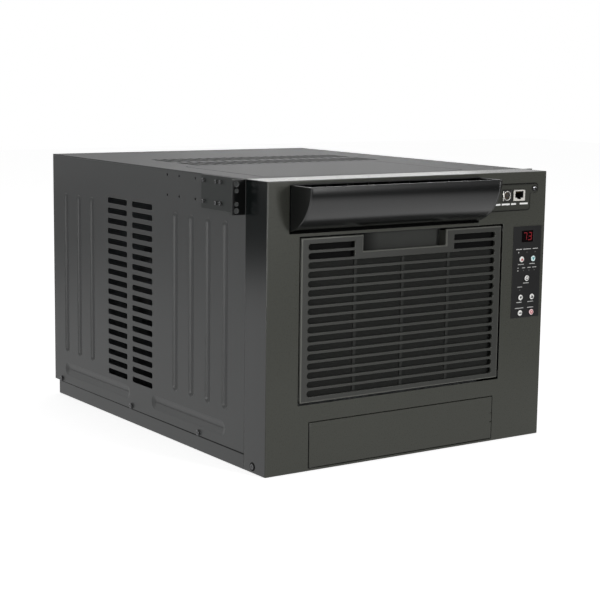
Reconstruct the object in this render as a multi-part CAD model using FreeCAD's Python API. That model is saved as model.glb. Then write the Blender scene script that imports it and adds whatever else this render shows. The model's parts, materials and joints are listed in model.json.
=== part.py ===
import FreeCAD, Part
import math
import os

# Rack air conditioner, eight rack units tall. Sizes are in millimetres.
# x runs to the right seen from the front, y runs to the back and z runs up.
# The origin is the bottom centre of the casing.

# Rack standard
rack_unit = 44.45
units_tall = 8
panel_clearance = 0.8
rack_hole_overhang = 12.55
rack_hole_pair = 31.75
rack_hole_inner_pair = 15.875
rack_hole_rise = 6.35
rack_hole_radius = 3.4
rack_small_hole_radius = 2.6

# Casing
case_depth = 576.5
sheet = 1.5
bezel_depth = 47.0
bezel_edge_round = 1.2
panel_seam = 0.5
base_reveal = 19.5
base_flange = 34.0
rear_recess = 14.0
lap = 12.0
inside_play = 0.6
round_sides = 24
hole_sides = 8
edge_tolerance = 0.01

# Pressed beads and louvres of the side panels
bead_width = 13.0
bead_floor = 7.0
bead_depth = 2.2
bead_end_clip = 3.6
bead_bottom = 66.5
bead_top = 300.5
bead_pitch = 41.0
front_bead_count = 4
front_bead_start = 93.0
rear_bead_count = 3
rear_bead_margin = 42.5
low_bead_height = 42.0
low_bead_front_start = 91.5
low_bead_front_length = 187.0
low_bead_rear_margin = 36.0
low_bead_rear_length = 200.0
louvre_length = 56.0
louvre_height = 7.8
louvre_clip = 2.0
louvre_pitch = 14.1
louvre_rows = 18
louvre_columns = 2
louvre_column_pitch = 70.6
louvre_start = 277.0
louvre_bottom = 61.5
top_louvre_count = 22

# Access cover in the top panel
cover_left_margin = 40.0
cover_width = 308.0
cover_start = 60.0
cover_length = 203.0
cover_round = 10.0
cover_gap = 1.5

# Rack ears
ear_thickness = 2.5
ear_reach = 18.5
ear_setback = 48.2
ear_length = 99.0
ear_height = 42.3
ear_screw_first = 140.3
ear_screw_second = 110.0
ear_screw_third = 99.8
ear_screw_top_drop = 7.4
ear_screw_rows = 26.0
spare_hole_first = 236.5
spare_hole_second = 206.0
spare_hole_third = 165.6
spare_hole_radius = 1.8

# Screws
screw_head_radius = 3.4
screw_head_height = 1.8
screw_head_sides = 8
seam_screw_rise = 4.2
seam_screw_first = 155.3
seam_screw_second = 335.6
seam_screw_third = 553.0
bezel_screw_depth = 27.8
bezel_screw_height = 7.9

# Air outlet hood
hood_left_margin = 32.0
hood_width = 292.0
hood_top_drop = 4.8
hood_reach = 43.3
hood_arc_radius = 57.3
hood_wall = 2.5
hood_cheek = 2.5
hood_gap = 0.7
hood_swing_gap = 2.8
hood_top_gap = 0.8
hood_pivot_setback = 5.0
hood_barrel_radius = 4.0
hood_pin_radius = 2.2
hood_cheek_radius = 49.5
hood_cheek_sweep = 27.0
lug_thickness = 4.0
lug_half = 5.6
running_fit = 0.08

# Intake door with its slots, finger pull and filter
door_left_margin = 48.8
door_width = 315.0
door_bottom = 85.0
door_height = 200.8
door_gap = 2.4
door_plate = 3.0
door_rim_depth = 14.0
door_rim_wall = 2.4
door_corner_round = 3.0
door_pivot_inset = 6.0
door_pin_radius = 2.5
slot_rows = 17
slot_height = 7.0
slot_side_margin = 10.4
slot_end_margin = 10.9
split_rows = 2
pull_width = 130.8
pull_height = 20.0
pull_depth = 12.0
pull_undercut = 6.0
pull_wall = 2.0
pull_side_land = 13.0
rib_width = 4.0
rib_depth = 3.5
rib_count = 3
filter_frame_bar = 7.0
filter_frame_depth = 6.0
filter_mesh_thickness = 0.8
filter_play = 0.5

# Service door under the intake door
service_left_margin = 63.8
service_width = 292.7
service_bottom = 3.9
service_height = 55.7
service_gap = 1.2
service_plate = 2.0
service_rim_depth = 9.0
service_corner_round = 2.5
service_pivot_inset = 5.0
service_pivot_setback = 6.0
service_pin_radius = 1.8
service_pin_play = 0.6
service_tab_height = 10.7
service_tab_slit = 1.0
service_tab_length = 3.0

# Control panel
overlay_door_gap = 21.0
overlay_right_margin = 6.4
overlay_width = 48.8
overlay_bottom = 161.5
overlay_height = 121.8
overlay_thickness = 0.8
overlay_round = 2.0
display_width = 20.3
display_height = 15.8
display_top_margin = 5.6
display_recess = 0.2
display_play = 0.2
button_radius = 3.7
button_cap = 1.2
button_stem = 4.0
button_stem_play = 0.2
button_travel = 0.8
button_end_play = 0.1
window_rim = 1.2
button_column_pitch = 20.0
button_row_upper = 78.4
button_row_middle = 52.7
button_row_lower = 27.5
button_row_bottom = 6.8
board_setback = 7.0
board_thickness = 1.6
board_edge = 2.0
board_post = 4.0
switch_size = 6.0
switch_height = 4.0

# Interface plate with its two sockets
plate_hood_gap = 10.0
plate_right_margin = 29.0
plate_width = 77.0
plate_bottom = 305.3
plate_height = 33.7
plate_thickness = 1.0
plate_round = 5.0
plate_tab_width = 13.0
plate_tab_height = 12.5
socket_height = 324.5
socket_proud = 0.8
socket_body_depth = 18.0
serial_from_right = 40.4
serial_width = 15.0
serial_face_height = 14.0
serial_ring_radius = 6.2
serial_core_radius = 4.4
serial_cup_depth = 7.0
network_from_right = 19.8
network_width = 20.0
network_face_height = 14.2
network_cup_width = 13.2
network_cup_height = 7.6
network_key_width = 6.2
network_key_height = 2.4
network_cup_depth = 13.0
socket_play = 0.3

# Evaporator, drip tray and outlet duct
coil_end_plate = 2.0
evaporator_start = 32.0
evaporator_depth = 40.0
evaporator_overlap = 2.0
tray_start = 22.0
tray_length = 60.0
tray_top = 72.0
tray_wall = 8.0
tray_channel_depth = 30.0
duct_wall = 2.0
vane_count = 9
vane_start = 42.0
vane_length = 30.0
vane_thickness = 1.6

# Fan set: one motor between the blower wheel and the axial fan
fan_axis_left_margin = 200.0
fan_axis_height = 172.0
shaft_radius = 6.0
shaft_hole_radius = 12.0
bulkhead_start = 180.0
scroll_start = 92.0
scroll_wall = 2.0
scroll_inlet_radius = 73.0
scroll_tongue_radius = 96.0
scroll_tongue_angle = 65.0
scroll_end_radius = 130.0
scroll_folds = 20
wheel_radius = 88.0
wheel_inner_radius = 74.0
wheel_end_play = 6.0
wheel_ring = 2.0
wheel_blades = 20
wheel_blade_thickness = 1.2
wheel_blade_lean = 30.0
wheel_disc = 6.0
hub_fit = 0.03
motor_start = 205.0
motor_length = 90.0
motor_radius = 52.0
bracket_plate = 3.0
bracket_width = 84.0
bracket_foot = 40.0
bracket_shaft_play = 1.0
fan_start = 380.0
fan_length = 36.0
fan_hub_radius = 30.0
fan_tip_radius = 138.0
fan_blade_root = 3.0
fan_blades = 5
fan_blade_thickness = 2.4
fan_root_chord = 36.0
fan_tip_chord = 74.0
fan_blade_pitch = 62.0
shroud_start = 415.0
shroud_tip_play = 6.0
shroud_pipe_gap = 18.5

# Compressor set and condenser
compressor_right_margin = 80.0
compressor_start = 290.0
compressor_radius = 58.0
compressor_height = 222.0
compressor_dome = 26.0
compressor_crown_radius = 30.0
compressor_foot = 3.0
compressor_foot_reach = 18.0
grommet_radius = 9.0
grommet_reach = 43.5
grommet_height = 14.0
grommet_count = 3
accumulator_radius = 22.0
accumulator_bottom = 60.0
accumulator_height = 130.0
accumulator_gap = 2.0
accumulator_strap = 11.0
accumulator_angle = 240.0
condenser_start = 470.0
condenser_depth = 45.0
condenser_side_margin = 20.0
condenser_bottom = 10.0
condenser_top = 335.0
condenser_plate_top = 340.0
pipe_radius = 5.0
pipe_sides = 10
capillary_radius = 2.0
pipe_corridor = 9.0
pipe_side_margin = 12.0
discharge_height = 300.0
capillary_drop = 25.0
suction_drop = 25.0
liquid_height = 60.0
drier_radius = 8.0
drier_length = 60.0
drier_start = 375.0
drier_rise = 20.0
pipe_hole_clearance = 2.0

# Electrical pieces
box_right_margin = 6.0
box_pipe_gap = 4.2
box_start = 40.0
box_bottom = 80.0
box_top = 285.0
capacitor_radius = 20.0
capacitor_height = 68.0
capacitor_tray_gap = 6.0
capacitor_right_margin = 15.0
inlet_right_margin = 70.0
inlet_height = 46.0
inlet_width = 28.0
inlet_tall = 20.5
inlet_flange_width = 50.0
inlet_flange_tall = 25.0
inlet_flange_thickness = 2.5
inlet_cup_width = 24.6
inlet_cup_tall = 17.0
inlet_cup_corner = 4.5
inlet_cup_depth = 16.0
inlet_body_depth = 22.0
inlet_pin_depth = 11.0
inlet_pin_spread = 7.0
inlet_pin_stagger = 2.0
inlet_pin_thickness = 2.0
inlet_pin_height = 4.0

# Rear panel
exhaust_columns = 3
exhaust_rows = 13
exhaust_slot_height = 10.0
exhaust_pitch = 19.5
exhaust_bottom = 84.0
exhaust_side_margin = 26.0
exhaust_tie = 14.0

# Values that follow from the sizes above
# both rows of the front, hood with sockets and door with pad, fill the 440 mm that the rack takes
case_height = units_tall * rack_unit - panel_clearance
hood_row = hood_left_margin + hood_width + plate_hood_gap + plate_width + plate_right_margin
door_row = door_left_margin + door_width + overlay_door_gap + overlay_width + overlay_right_margin
case_width = max(hood_row, door_row)
half_width = case_width / 2.0
front = -case_depth / 2.0
back = case_depth / 2.0
left = -half_width
right = half_width
inner_half = half_width - sheet
clear_half = half_width - sheet - max(sheet, bead_depth) - inside_play
ceiling = case_height - 2.0 * sheet - inside_play
rear_face = back - rear_recess


def vec(x, y, z):
    return FreeCAD.Vector(x, y, z)


def at(depth):
    # y of a plane that lies depth behind the front face
    return front + depth


def block(x0, x1, y0, y1, z0, z1):
    return Part.makeBox(x1 - x0, y1 - y0, z1 - z0, vec(x0, y0, z0))


def rod_x(radius, x0, x1, y, z):
    return Part.makeCylinder(radius, x1 - x0, vec(x0, y, z), vec(1, 0, 0))


def rod_y(radius, y0, y1, x, z):
    return Part.makeCylinder(radius, y1 - y0, vec(x, y0, z), vec(0, 1, 0))


def rod_z(radius, z0, z1, x, y):
    return Part.makeCylinder(radius, z1 - z0, vec(x, y, z0), vec(0, 0, 1))


def face_from(points):
    return Part.Face(Part.makePolygon(points + [points[0]]))


def ring_points(radius, sides, place):
    # corners of a round outline in the plane that place gives for (u, v)
    turns = [2.0 * math.pi * i / sides for i in range(sides)]
    return [place(radius * math.cos(turn), radius * math.sin(turn)) for turn in turns]


def can_y(radius, y0, y1, x, z):
    corners = ring_points(radius, round_sides, lambda u, v: vec(x + u, y0, z + v))
    return face_from(corners).extrude(vec(0, y1 - y0, 0))


def can_z(radius, z0, z1, x, y):
    corners = ring_points(radius, round_sides, lambda u, v: vec(x + u, y + v, z0))
    return face_from(corners).extrude(vec(0, 0, z1 - z0))


def mirrored(shape):
    return shape.mirror(vec(0, 0, 0), vec(1, 0, 0))


def rounded_wire(place, u0, u1, v0, v1, radius):
    # a rectangle with round corners in the plane that place gives for (u, v)
    r = radius
    k = r * (1.0 - math.sqrt(0.5))
    corners = [
        ((u1 - r, v0), (u1 - k, v0 + k), (u1, v0 + r)),
        ((u1, v1 - r), (u1 - k, v1 - k), (u1 - r, v1)),
        ((u0 + r, v1), (u0 + k, v1 - k), (u0, v1 - r)),
        ((u0, v0 + r), (u0 + k, v0 + k), (u0 + r, v0)),
    ]
    edges = []
    for i in range(4):
        start, middle, end = [place(*p) for p in corners[i]]
        edges.append(Part.Arc(start, middle, end).toShape())
        edges.append(Part.makeLine(end, place(*corners[(i + 1) % 4][0])))
    return Part.Wire(edges)


def clipped_corners(place, u0, u1, v0, v1, clip):
    # a rectangle with clipped corners in the plane that place gives for (u, v)
    points = [(u0 + clip, v0), (u1 - clip, v0), (u1, v0 + clip), (u1, v1 - clip),
              (u1 - clip, v1), (u0 + clip, v1), (u0, v1 - clip), (u0, v0 + clip)]
    return [place(*p) for p in points]


def front_prism(x0, x1, y0, y1, z0, z1, clip):
    corners = clipped_corners(lambda u, v: vec(u, y0, v), x0, x1, z0, z1, clip)
    return face_from(corners).extrude(vec(0, y1 - y0, 0))


def side_prism(x0, x1, y0, y1, z0, z1, clip):
    corners = clipped_corners(lambda u, v: vec(x0, u, v), y0, y1, z0, z1, clip)
    return face_from(corners).extrude(vec(x1 - x0, 0, 0))


def faceted_solid(rings):
    # closed solid of flat faces through rings of corners
    faces = [face_from(rings[0]), face_from(rings[-1])]
    for low, high in zip(rings, rings[1:]):
        for i in range(len(low)):
            faces.append(face_from([low[i - 1], low[i], high[i], high[i - 1]]))
    return Part.makeSolid(Part.makeShell(faces))


def rounded_plate(x0, x1, y0, y1, z0, z1, radius):
    wire = rounded_wire(lambda u, v: vec(u, v, z0), x0, x1, y0, y1, radius)
    return Part.Face(wire).extrude(vec(0, 0, z1 - z0))


def rounded_front(x0, x1, y0, y1, z0, z1, radius):
    wire = rounded_wire(lambda u, v: vec(u, y0, v), x0, x1, z0, z1, radius)
    return Part.Face(wire).extrude(vec(0, y1 - y0, 0))


def side_hole(radius, y, z):
    # small eight sided piercing through the left side
    half = radius * math.cos(math.pi / hole_sides)
    clip = half * (1.0 - math.tan(math.pi / hole_sides))
    return side_prism(left - ear_reach, left + 2 * sheet, y - half, y + half, z - half, z + half, clip)


def screw_head(point, direction):
    # direction points out of the sheet that the head rests on
    corners = ring_points(screw_head_radius, screw_head_sides, lambda u, v: vec(u, v, 0))
    head = face_from(corners).extrude(vec(0, 0, screw_head_height))
    head.Placement = FreeCAD.Placement(point, FreeCAD.Rotation(vec(0, 0, 1), direction))
    return head


# Places that several pieces share

ear_top = case_height - panel_clearance / 2.0
ear_bottom = ear_top - ear_height
rack_hole_low = units_tall * rack_unit - rack_unit + rack_hole_rise - panel_clearance / 2.0
ear_screw_depths = [ear_screw_first, ear_screw_second, ear_screw_third]
ear_screw_heights = [case_height - ear_screw_top_drop,
                     case_height - ear_screw_top_drop - ear_screw_rows]
ear_screw_places = [(at(d), z) for d in ear_screw_depths for z in ear_screw_heights]
spare_places = [(at(d), z) for d in (spare_hole_first, spare_hole_second, spare_hole_third)
                for z in ear_screw_heights]
seam_screw_z = base_reveal + seam_screw_rise
seam_screw_places = [(at(d), seam_screw_z)
                     for d in (seam_screw_first, seam_screw_second, seam_screw_third)]
bezel_screw_place = (at(bezel_screw_depth), bezel_screw_height)

rear_lip_bottom = base_flange + inside_play
rear_lip_top = case_height - 2.0 * lap

cover_left = left + cover_left_margin
cover_right = cover_left + cover_width
cover_front = at(cover_start)
cover_back = cover_front + cover_length

hood_left = left + hood_left_margin
hood_right = hood_left + hood_width
hood_top = case_height - hood_top_drop
hood_centre_y = front - hood_reach + hood_arc_radius
hood_axis_y = at(hood_pivot_setback)
hood_axis_z = hood_top - math.sqrt((hood_arc_radius - hood_barrel_radius) ** 2
                                   - (hood_centre_y - hood_axis_y) ** 2)
hood_meets_panel = hood_top - math.sqrt(hood_arc_radius ** 2 - (hood_centre_y - front) ** 2)
hood_open_left = hood_left - hood_gap
hood_open_right = hood_right + hood_gap
hood_open_bottom = hood_meets_panel - hood_swing_gap
hood_open_top = hood_top + hood_top_gap

door_left = left + door_left_margin
door_right = door_left + door_width
door_top = door_bottom + door_height
door_middle = (door_left + door_right) / 2.0
door_axis_y = at(door_pivot_inset)
door_axis_z = door_bottom + door_pivot_inset
slot_left = door_left + slot_side_margin
slot_right = door_right - slot_side_margin
slot_pitch = (door_height - 2.0 * slot_end_margin) / (slot_rows - 1)
pull_left = door_middle - pull_width / 2.0
pull_right = door_middle + pull_width / 2.0
pull_bottom = door_top - pull_height

service_left = left + service_left_margin
service_right = service_left + service_width
service_top = service_bottom + service_height
service_axis_x = service_left + service_pivot_inset
service_axis_y = at(service_pivot_setback)

overlay_right = right - overlay_right_margin
overlay_left = overlay_right - overlay_width
overlay_top = overlay_bottom + overlay_height
overlay_middle = (overlay_left + overlay_right) / 2.0
display_top = overlay_top - display_top_margin
button_column_left = overlay_middle - button_column_pitch / 2.0
button_column_right = overlay_middle + button_column_pitch / 2.0
button_places = {
    "button_warmer": (button_column_left, overlay_bottom + button_row_upper),
    "button_cooler": (button_column_right, overlay_bottom + button_row_upper),
    "button_mode": (overlay_middle, overlay_bottom + button_row_middle),
    "button_fan": (button_column_left, overlay_bottom + button_row_lower),
    "button_timer": (button_column_right, overlay_bottom + button_row_lower),
    "button_sleep": (button_column_left, overlay_bottom + button_row_bottom),
    "button_power": (button_column_right, overlay_bottom + button_row_bottom),
}
board_front = at(board_setback)

plate_left = hood_right + plate_hood_gap
plate_right = plate_left + plate_width
plate_top = plate_bottom + plate_height
plate_screw_x = plate_right + plate_tab_width / 2.0
plate_screw_z = plate_top - plate_tab_height / 2.0
serial_x = plate_right - serial_from_right
network_x = plate_right - network_from_right
socket_front = front - plate_thickness - socket_proud
socket_back = front + socket_body_depth

duct_left = hood_open_left - lug_thickness - hood_gap
duct_right = hood_open_right + lug_thickness + hood_gap
duct_floor = hood_open_bottom - duct_wall
evaporator_left = door_left - evaporator_overlap
evaporator_right = door_right + evaporator_overlap

fan_x = left + fan_axis_left_margin
fan_z = fan_axis_height
bulkhead_front = at(bulkhead_start)
bulkhead_back = bulkhead_front + sheet
wheel_front = at(scroll_start) + scroll_wall + wheel_end_play
wheel_back = bulkhead_front - scroll_wall - wheel_end_play
tongue_angle = math.radians(scroll_tongue_angle)
discharge_left = fan_x + scroll_tongue_radius * math.cos(tongue_angle)
discharge_right = fan_x + scroll_end_radius
shroud_front = at(shroud_start)

compressor_x = right - compressor_right_margin
compressor_y = at(compressor_start)
compressor_bottom = sheet + grommet_height
compressor_top = compressor_bottom + compressor_foot + compressor_height
accumulator_offset = compressor_radius + accumulator_radius + accumulator_gap
accumulator_x = compressor_x + accumulator_offset * math.cos(math.radians(accumulator_angle))
accumulator_y = compressor_y + accumulator_offset * math.sin(math.radians(accumulator_angle))
accumulator_top = accumulator_bottom + accumulator_height
condenser_half = half_width - condenser_side_margin
condenser_middle = at(condenser_start + condenser_depth / 2.0)
evaporator_middle = at(evaporator_start + evaporator_depth / 2.0)
corridor_x = evaporator_right + coil_end_plate + pipe_corridor
pipe_side_x = right - pipe_side_margin
drier_bottom = liquid_height + drier_rise
capillary_height = discharge_height - capillary_drop
suction_height = capillary_height - suction_drop

inlet_x = right - inlet_right_margin


# Casing

def base_pan():
    # floor with flanges that stand behind the side panels and strips that lie flush below them
    floor = block(-inner_half, inner_half, at(sheet), rear_face, 0, sheet)
    walls = []
    for x0 in (-inner_half, inner_half - sheet):
        walls.append(block(x0, x0 + sheet, at(sheet), rear_face - sheet, 0, base_flange))
    for x0 in (left, inner_half):
        walls.append(block(x0, x0 + sheet, at(bezel_depth + panel_seam), rear_face, 0,
                           base_reveal - panel_seam))
    return floor.fuse(walls).removeSplitter()


def bead(y0, y1, z0, z1):
    # a pressed channel with sloping walls: the hollow outside and the matching boss inside
    slope = (bead_width - bead_floor) / 2.0
    rings = []
    for x, shrink in ((left, 0.0), (left + bead_depth, slope)):
        rings.append(clipped_corners(lambda u, v: vec(x, u, v), y0 + shrink, y1 - shrink, z0 + shrink,
                                     z1 - shrink, bead_end_clip * (1.0 - shrink / bead_width)))
    boss = block(left + sheet, left + sheet + bead_depth, y0, y1, z0, z1)
    return faceted_solid(rings), boss


def side_panel():
    panel = block(left, left + sheet, at(bezel_depth + panel_seam), back,
                  base_reveal, case_height - sheet)
    tongue = block(left + sheet, left + 2 * sheet, at(bezel_depth - lap),
                   at(bezel_depth + lap), rear_lip_bottom, rear_lip_top)
    lip = block(left + sheet, left + sheet + lap, rear_face - 2 * sheet, rear_face - sheet,
                rear_lip_bottom, rear_lip_top)
    half = bead_width / 2.0
    centres = [at(front_bead_start + bead_pitch * i) for i in range(front_bead_count)]
    centres += [back - rear_bead_margin - bead_pitch * i for i in range(rear_bead_count)]
    beads = [bead(y - half, y + half, bead_bottom, bead_top) for y in centres]
    low_front = at(low_bead_front_start)
    low_back = back - low_bead_rear_margin
    for y0, y1 in ((low_front, low_front + low_bead_front_length),
                   (low_back - low_bead_rear_length, low_back)):
        beads.append(bead(y0, y1, low_bead_height - half, low_bead_height + half))
    cuts = [hollow for hollow, boss in beads]
    for column in range(louvre_columns):
        y0 = at(louvre_start + louvre_column_pitch * column)
        for row in range(louvre_rows):
            z = louvre_bottom + louvre_pitch * row
            cuts.append(side_prism(left - sheet, left + 2 * sheet, y0, y0 + louvre_length,
                                   z - louvre_height / 2.0, z + louvre_height / 2.0, louvre_clip))
    cuts += [side_hole(spare_hole_radius, y, z) for y, z in spare_places]
    bosses = [boss for hollow, boss in beads]
    return panel.fuse([tongue, lip] + bosses).cut(cuts).removeSplitter()


def top_panel():
    start = at(bezel_depth + panel_seam)
    top = block(left, right, start, back, case_height - sheet, case_height)
    under = case_height - 2 * sheet
    tongue = block(-inner_half + lap, inner_half - lap, at(bezel_depth - lap),
                   at(bezel_depth + lap), under, case_height - sheet)
    lips = []
    for x0 in (-inner_half, inner_half - sheet):
        lips.append(block(x0, x0 + sheet, start, rear_face - sheet,
                          case_height - lap, case_height - sheet))
    ledge = block(cover_left - lap, cover_right + lap, cover_front - lap, cover_back + lap,
                  under, case_height - sheet)
    window = rounded_plate(cover_left - cover_gap, cover_right + cover_gap, cover_front - cover_gap,
                           cover_back + cover_gap, case_height - sheet, case_height,
                           cover_round + cover_gap)
    hole = block(cover_left + lap, cover_right - lap, cover_front + lap, cover_back - lap,
                 under, case_height)
    cuts = [window, hole]
    span = louvre_pitch * (top_louvre_count - 1)
    for column in range(louvre_columns):
        y0 = at(louvre_start + louvre_column_pitch * column)
        for i in range(top_louvre_count):
            x = louvre_pitch * i - span / 2.0
            cuts.append(block(x - louvre_height / 2.0, x + louvre_height / 2.0, y0,
                              y0 + louvre_length, under - sheet, case_height + sheet))
    return top.fuse([tongue, ledge] + lips).cut(cuts).removeSplitter()


def top_cover():
    return rounded_plate(cover_left, cover_right, cover_front, cover_back,
                         case_height - sheet, case_height, cover_round)


def rear_panel():
    panel = block(-inner_half, inner_half, rear_face - sheet, rear_face, sheet, case_height - sheet)
    cuts = []
    across = case_width - 2 * exhaust_side_margin
    length = (across - exhaust_tie * (exhaust_columns - 1)) / exhaust_columns
    for column in range(exhaust_columns):
        x0 = left + exhaust_side_margin + (length + exhaust_tie) * column
        for row in range(exhaust_rows):
            z = exhaust_bottom + exhaust_pitch * row
            cuts.append(block(x0, x0 + length, rear_face - 2 * sheet, rear_face + sheet,
                              z - exhaust_slot_height / 2.0, z + exhaust_slot_height / 2.0))
    cuts.append(block(inlet_x - inlet_width / 2.0, inlet_x + inlet_width / 2.0,
                      rear_face - 2 * sheet, rear_face + sheet,
                      inlet_height - inlet_tall / 2.0, inlet_height + inlet_tall / 2.0))
    return panel.cut(cuts)


def front_bezel():
    plate = block(left, right, front, at(sheet), 0, case_height)
    top = block(left, right, front, at(bezel_depth), case_height - sheet, case_height)
    walls = [block(x0, x0 + sheet, front, at(bezel_depth), 0, case_height)
             for x0 in (left, right - sheet)]
    shell = plate.fuse([top] + walls).removeSplitter()
    rim = []
    for edge in shell.Edges:
        box = edge.BoundBox
        on_face = box.YMax < front + edge_tolerance
        long_edge = box.DiagonalLength > case_height / 2.0
        if on_face and long_edge and box.ZMax > sheet:
            rim.append(edge)
    shell = shell.makeFillet(bezel_edge_round, rim)
    inside = at(2 * sheet)
    outside = front - sheet
    cuts = [
        block(hood_open_left, hood_open_right, outside, inside, hood_open_bottom, hood_open_top),
        block(door_left - door_gap, door_right + door_gap, outside, inside,
              door_bottom - door_gap, door_top + door_gap),
        block(service_left - service_gap, service_right + service_gap, outside, inside,
              service_bottom - service_gap, service_top + service_gap),
        block(overlay_left + window_rim, overlay_right - window_rim, outside, inside,
              overlay_bottom + window_rim, overlay_top - window_rim),
        block(serial_x - serial_width / 2.0 - socket_play,
              network_x + network_width / 2.0 + socket_play, outside, inside,
              socket_height - network_face_height / 2.0 - socket_play,
              socket_height + network_face_height / 2.0 + socket_play),
    ]
    return shell.cut(cuts)


def rack_ear():
    leg = block(left - ear_thickness, left, at(ear_setback), at(ear_setback + ear_length),
                ear_bottom, ear_top)
    flange = block(left - ear_reach, left, at(ear_setback), at(ear_setback) + ear_thickness,
                   ear_bottom, ear_top)
    cuts = []
    centre = rack_hole_low + rack_hole_pair / 2.0
    x = left - rack_hole_overhang
    y0 = at(ear_setback) - ear_thickness
    y1 = at(ear_setback) + 2 * ear_thickness
    for side in (-0.5, 0.5):
        cuts.append(rod_y(rack_hole_radius, y0, y1, x, centre + side * rack_hole_pair))
        z = centre + side * rack_hole_inner_pair
        half = rack_small_hole_radius
        cuts.append(front_prism(x - half, x + half, y0, y1, z - half, z + half, half / 2.0))
    return leg.fuse(flange).removeSplitter().cut(cuts)


def case_screws():
    heads = []
    for y, z in seam_screw_places + [bezel_screw_place]:
        heads.append(screw_head(vec(left, y, z), vec(-1, 0, 0)))
    for y, z in ear_screw_places:
        heads.append(screw_head(vec(left - ear_thickness, y, z), vec(-1, 0, 0)))
    heads += [mirrored(head) for head in heads]
    heads.append(screw_head(vec(plate_screw_x, front - plate_thickness, plate_screw_z), vec(0, -1, 0)))
    return Part.makeCompound(heads)


# Air outlet

def hood_point(angle, radius):
    return vec(0, hood_centre_y - radius * math.cos(angle), hood_top - radius * math.sin(angle))


def hood_tangent_angle():
    return math.atan2(hood_top - hood_axis_z, hood_centre_y - hood_axis_y)


def hood_arc(angle0, angle1, radius):
    middle = (angle0 + angle1) / 2.0
    return Part.Arc(hood_point(angle0, radius), hood_point(middle, radius),
                    hood_point(angle1, radius)).toShape()


def hood_cheek_face():
    # outside arc in front, and a sector about the pivot that stays inside the opening
    end = hood_tangent_angle()
    top_front = hood_point(0.0, hood_arc_radius)
    step_y = front - hood_gap
    reach = hood_axis_y - step_y
    sweep = math.radians(hood_cheek_sweep)
    start_angle = -math.asin(reach / hood_cheek_radius)

    def sector(angle):
        return vec(0, hood_axis_y + hood_cheek_radius * math.sin(angle),
                   hood_axis_z + hood_cheek_radius * math.cos(angle))

    axis = vec(0, hood_axis_y, hood_axis_z)
    step_top = vec(0, step_y, hood_top)
    edges = [
        Part.makeLine(top_front, step_top),
        Part.makeLine(step_top, sector(start_angle)),
        Part.Arc(sector(start_angle), sector((start_angle + sweep) / 2.0), sector(sweep)).toShape(),
        Part.makeLine(sector(sweep), axis),
        Part.makeLine(axis, hood_point(end, hood_arc_radius)),
        hood_arc(end, 0.0, hood_arc_radius),
    ]
    return Part.Face(Part.Wire(edges))


def air_hood():
    end = hood_tangent_angle()
    inner = hood_arc_radius - hood_wall
    edges = [
        hood_arc(0.0, end, hood_arc_radius),
        Part.makeLine(hood_point(end, hood_arc_radius), hood_point(end, inner)),
        hood_arc(end, 0.0, inner),
        Part.makeLine(hood_point(0.0, inner), hood_point(0.0, hood_arc_radius)),
    ]
    skin = Part.Face(Part.Wire(edges))
    skin.translate(vec(hood_left, 0, 0))
    hood = skin.extrude(vec(hood_width, 0, 0))
    pieces = [rod_x(hood_barrel_radius, hood_left, hood_right, hood_axis_y, hood_axis_z)]
    for x0 in (hood_left, hood_right - hood_cheek):
        cheek = hood_cheek_face()
        cheek.translate(vec(x0, 0, 0))
        pieces.append(cheek.extrude(vec(hood_cheek, 0, 0)))
    pin = hood_gap + lug_thickness
    pieces.append(rod_x(hood_pin_radius, hood_left - pin, hood_right + pin, hood_axis_y, hood_axis_z))
    return hood.fuse(pieces).removeSplitter()


def pivot_lug(x0, axis_y, axis_z, pin_radius):
    lug = block(x0, x0 + lug_thickness, at(sheet), axis_y + lug_half,
                axis_z - lug_half, axis_z + lug_half)
    return lug.cut(rod_x(pin_radius + running_fit, x0, x0 + lug_thickness, axis_y, axis_z))


def hood_pivot_lugs():
    return Part.makeCompound([
        pivot_lug(hood_open_left - lug_thickness, hood_axis_y, hood_axis_z, hood_pin_radius),
        pivot_lug(hood_open_right, hood_axis_y, hood_axis_z, hood_pin_radius),
    ])


def outlet_duct():
    outer = block(duct_left - duct_wall, duct_right + duct_wall, at(sheet), bulkhead_front,
                  duct_floor - duct_wall, ceiling)
    inner = block(duct_left, duct_right, front, bulkhead_front - duct_wall,
                  duct_floor, ceiling - duct_wall)
    mouth = block(discharge_left, discharge_right, at(scroll_start) + scroll_wall,
                  bulkhead_front - scroll_wall, duct_floor - 2 * duct_wall, duct_floor)
    return outer.cut([inner, mouth])


def outlet_vanes():
    vanes = []
    step = hood_width / vane_count
    for i in range(vane_count):
        x = hood_left + step * (i + 0.5)
        vanes.append(block(x - vane_thickness / 2.0, x + vane_thickness / 2.0, at(vane_start),
                           at(vane_start + vane_length), duct_floor, ceiling - duct_wall))
    return Part.makeCompound(vanes)


# Intake door

def door_slots():
    # full rows, and the top rows parted by the finger pull, with ends that are half an octagon
    slots = []
    clip = slot_height / 2.0 * (1.0 - math.tan(math.pi / hole_sides))
    for row in range(slot_rows):
        z = door_top - slot_end_margin - slot_pitch * row
        spans = [(slot_left, slot_right)]
        if row < split_rows:
            spans = [(slot_left, pull_left - pull_side_land), (pull_right + pull_side_land, slot_right)]
        for x0, x1 in spans:
            slots.append(front_prism(x0, x1, front - door_plate, at(2 * door_plate),
                                     z - slot_height / 2.0, z + slot_height / 2.0, clip))
    return slots


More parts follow.
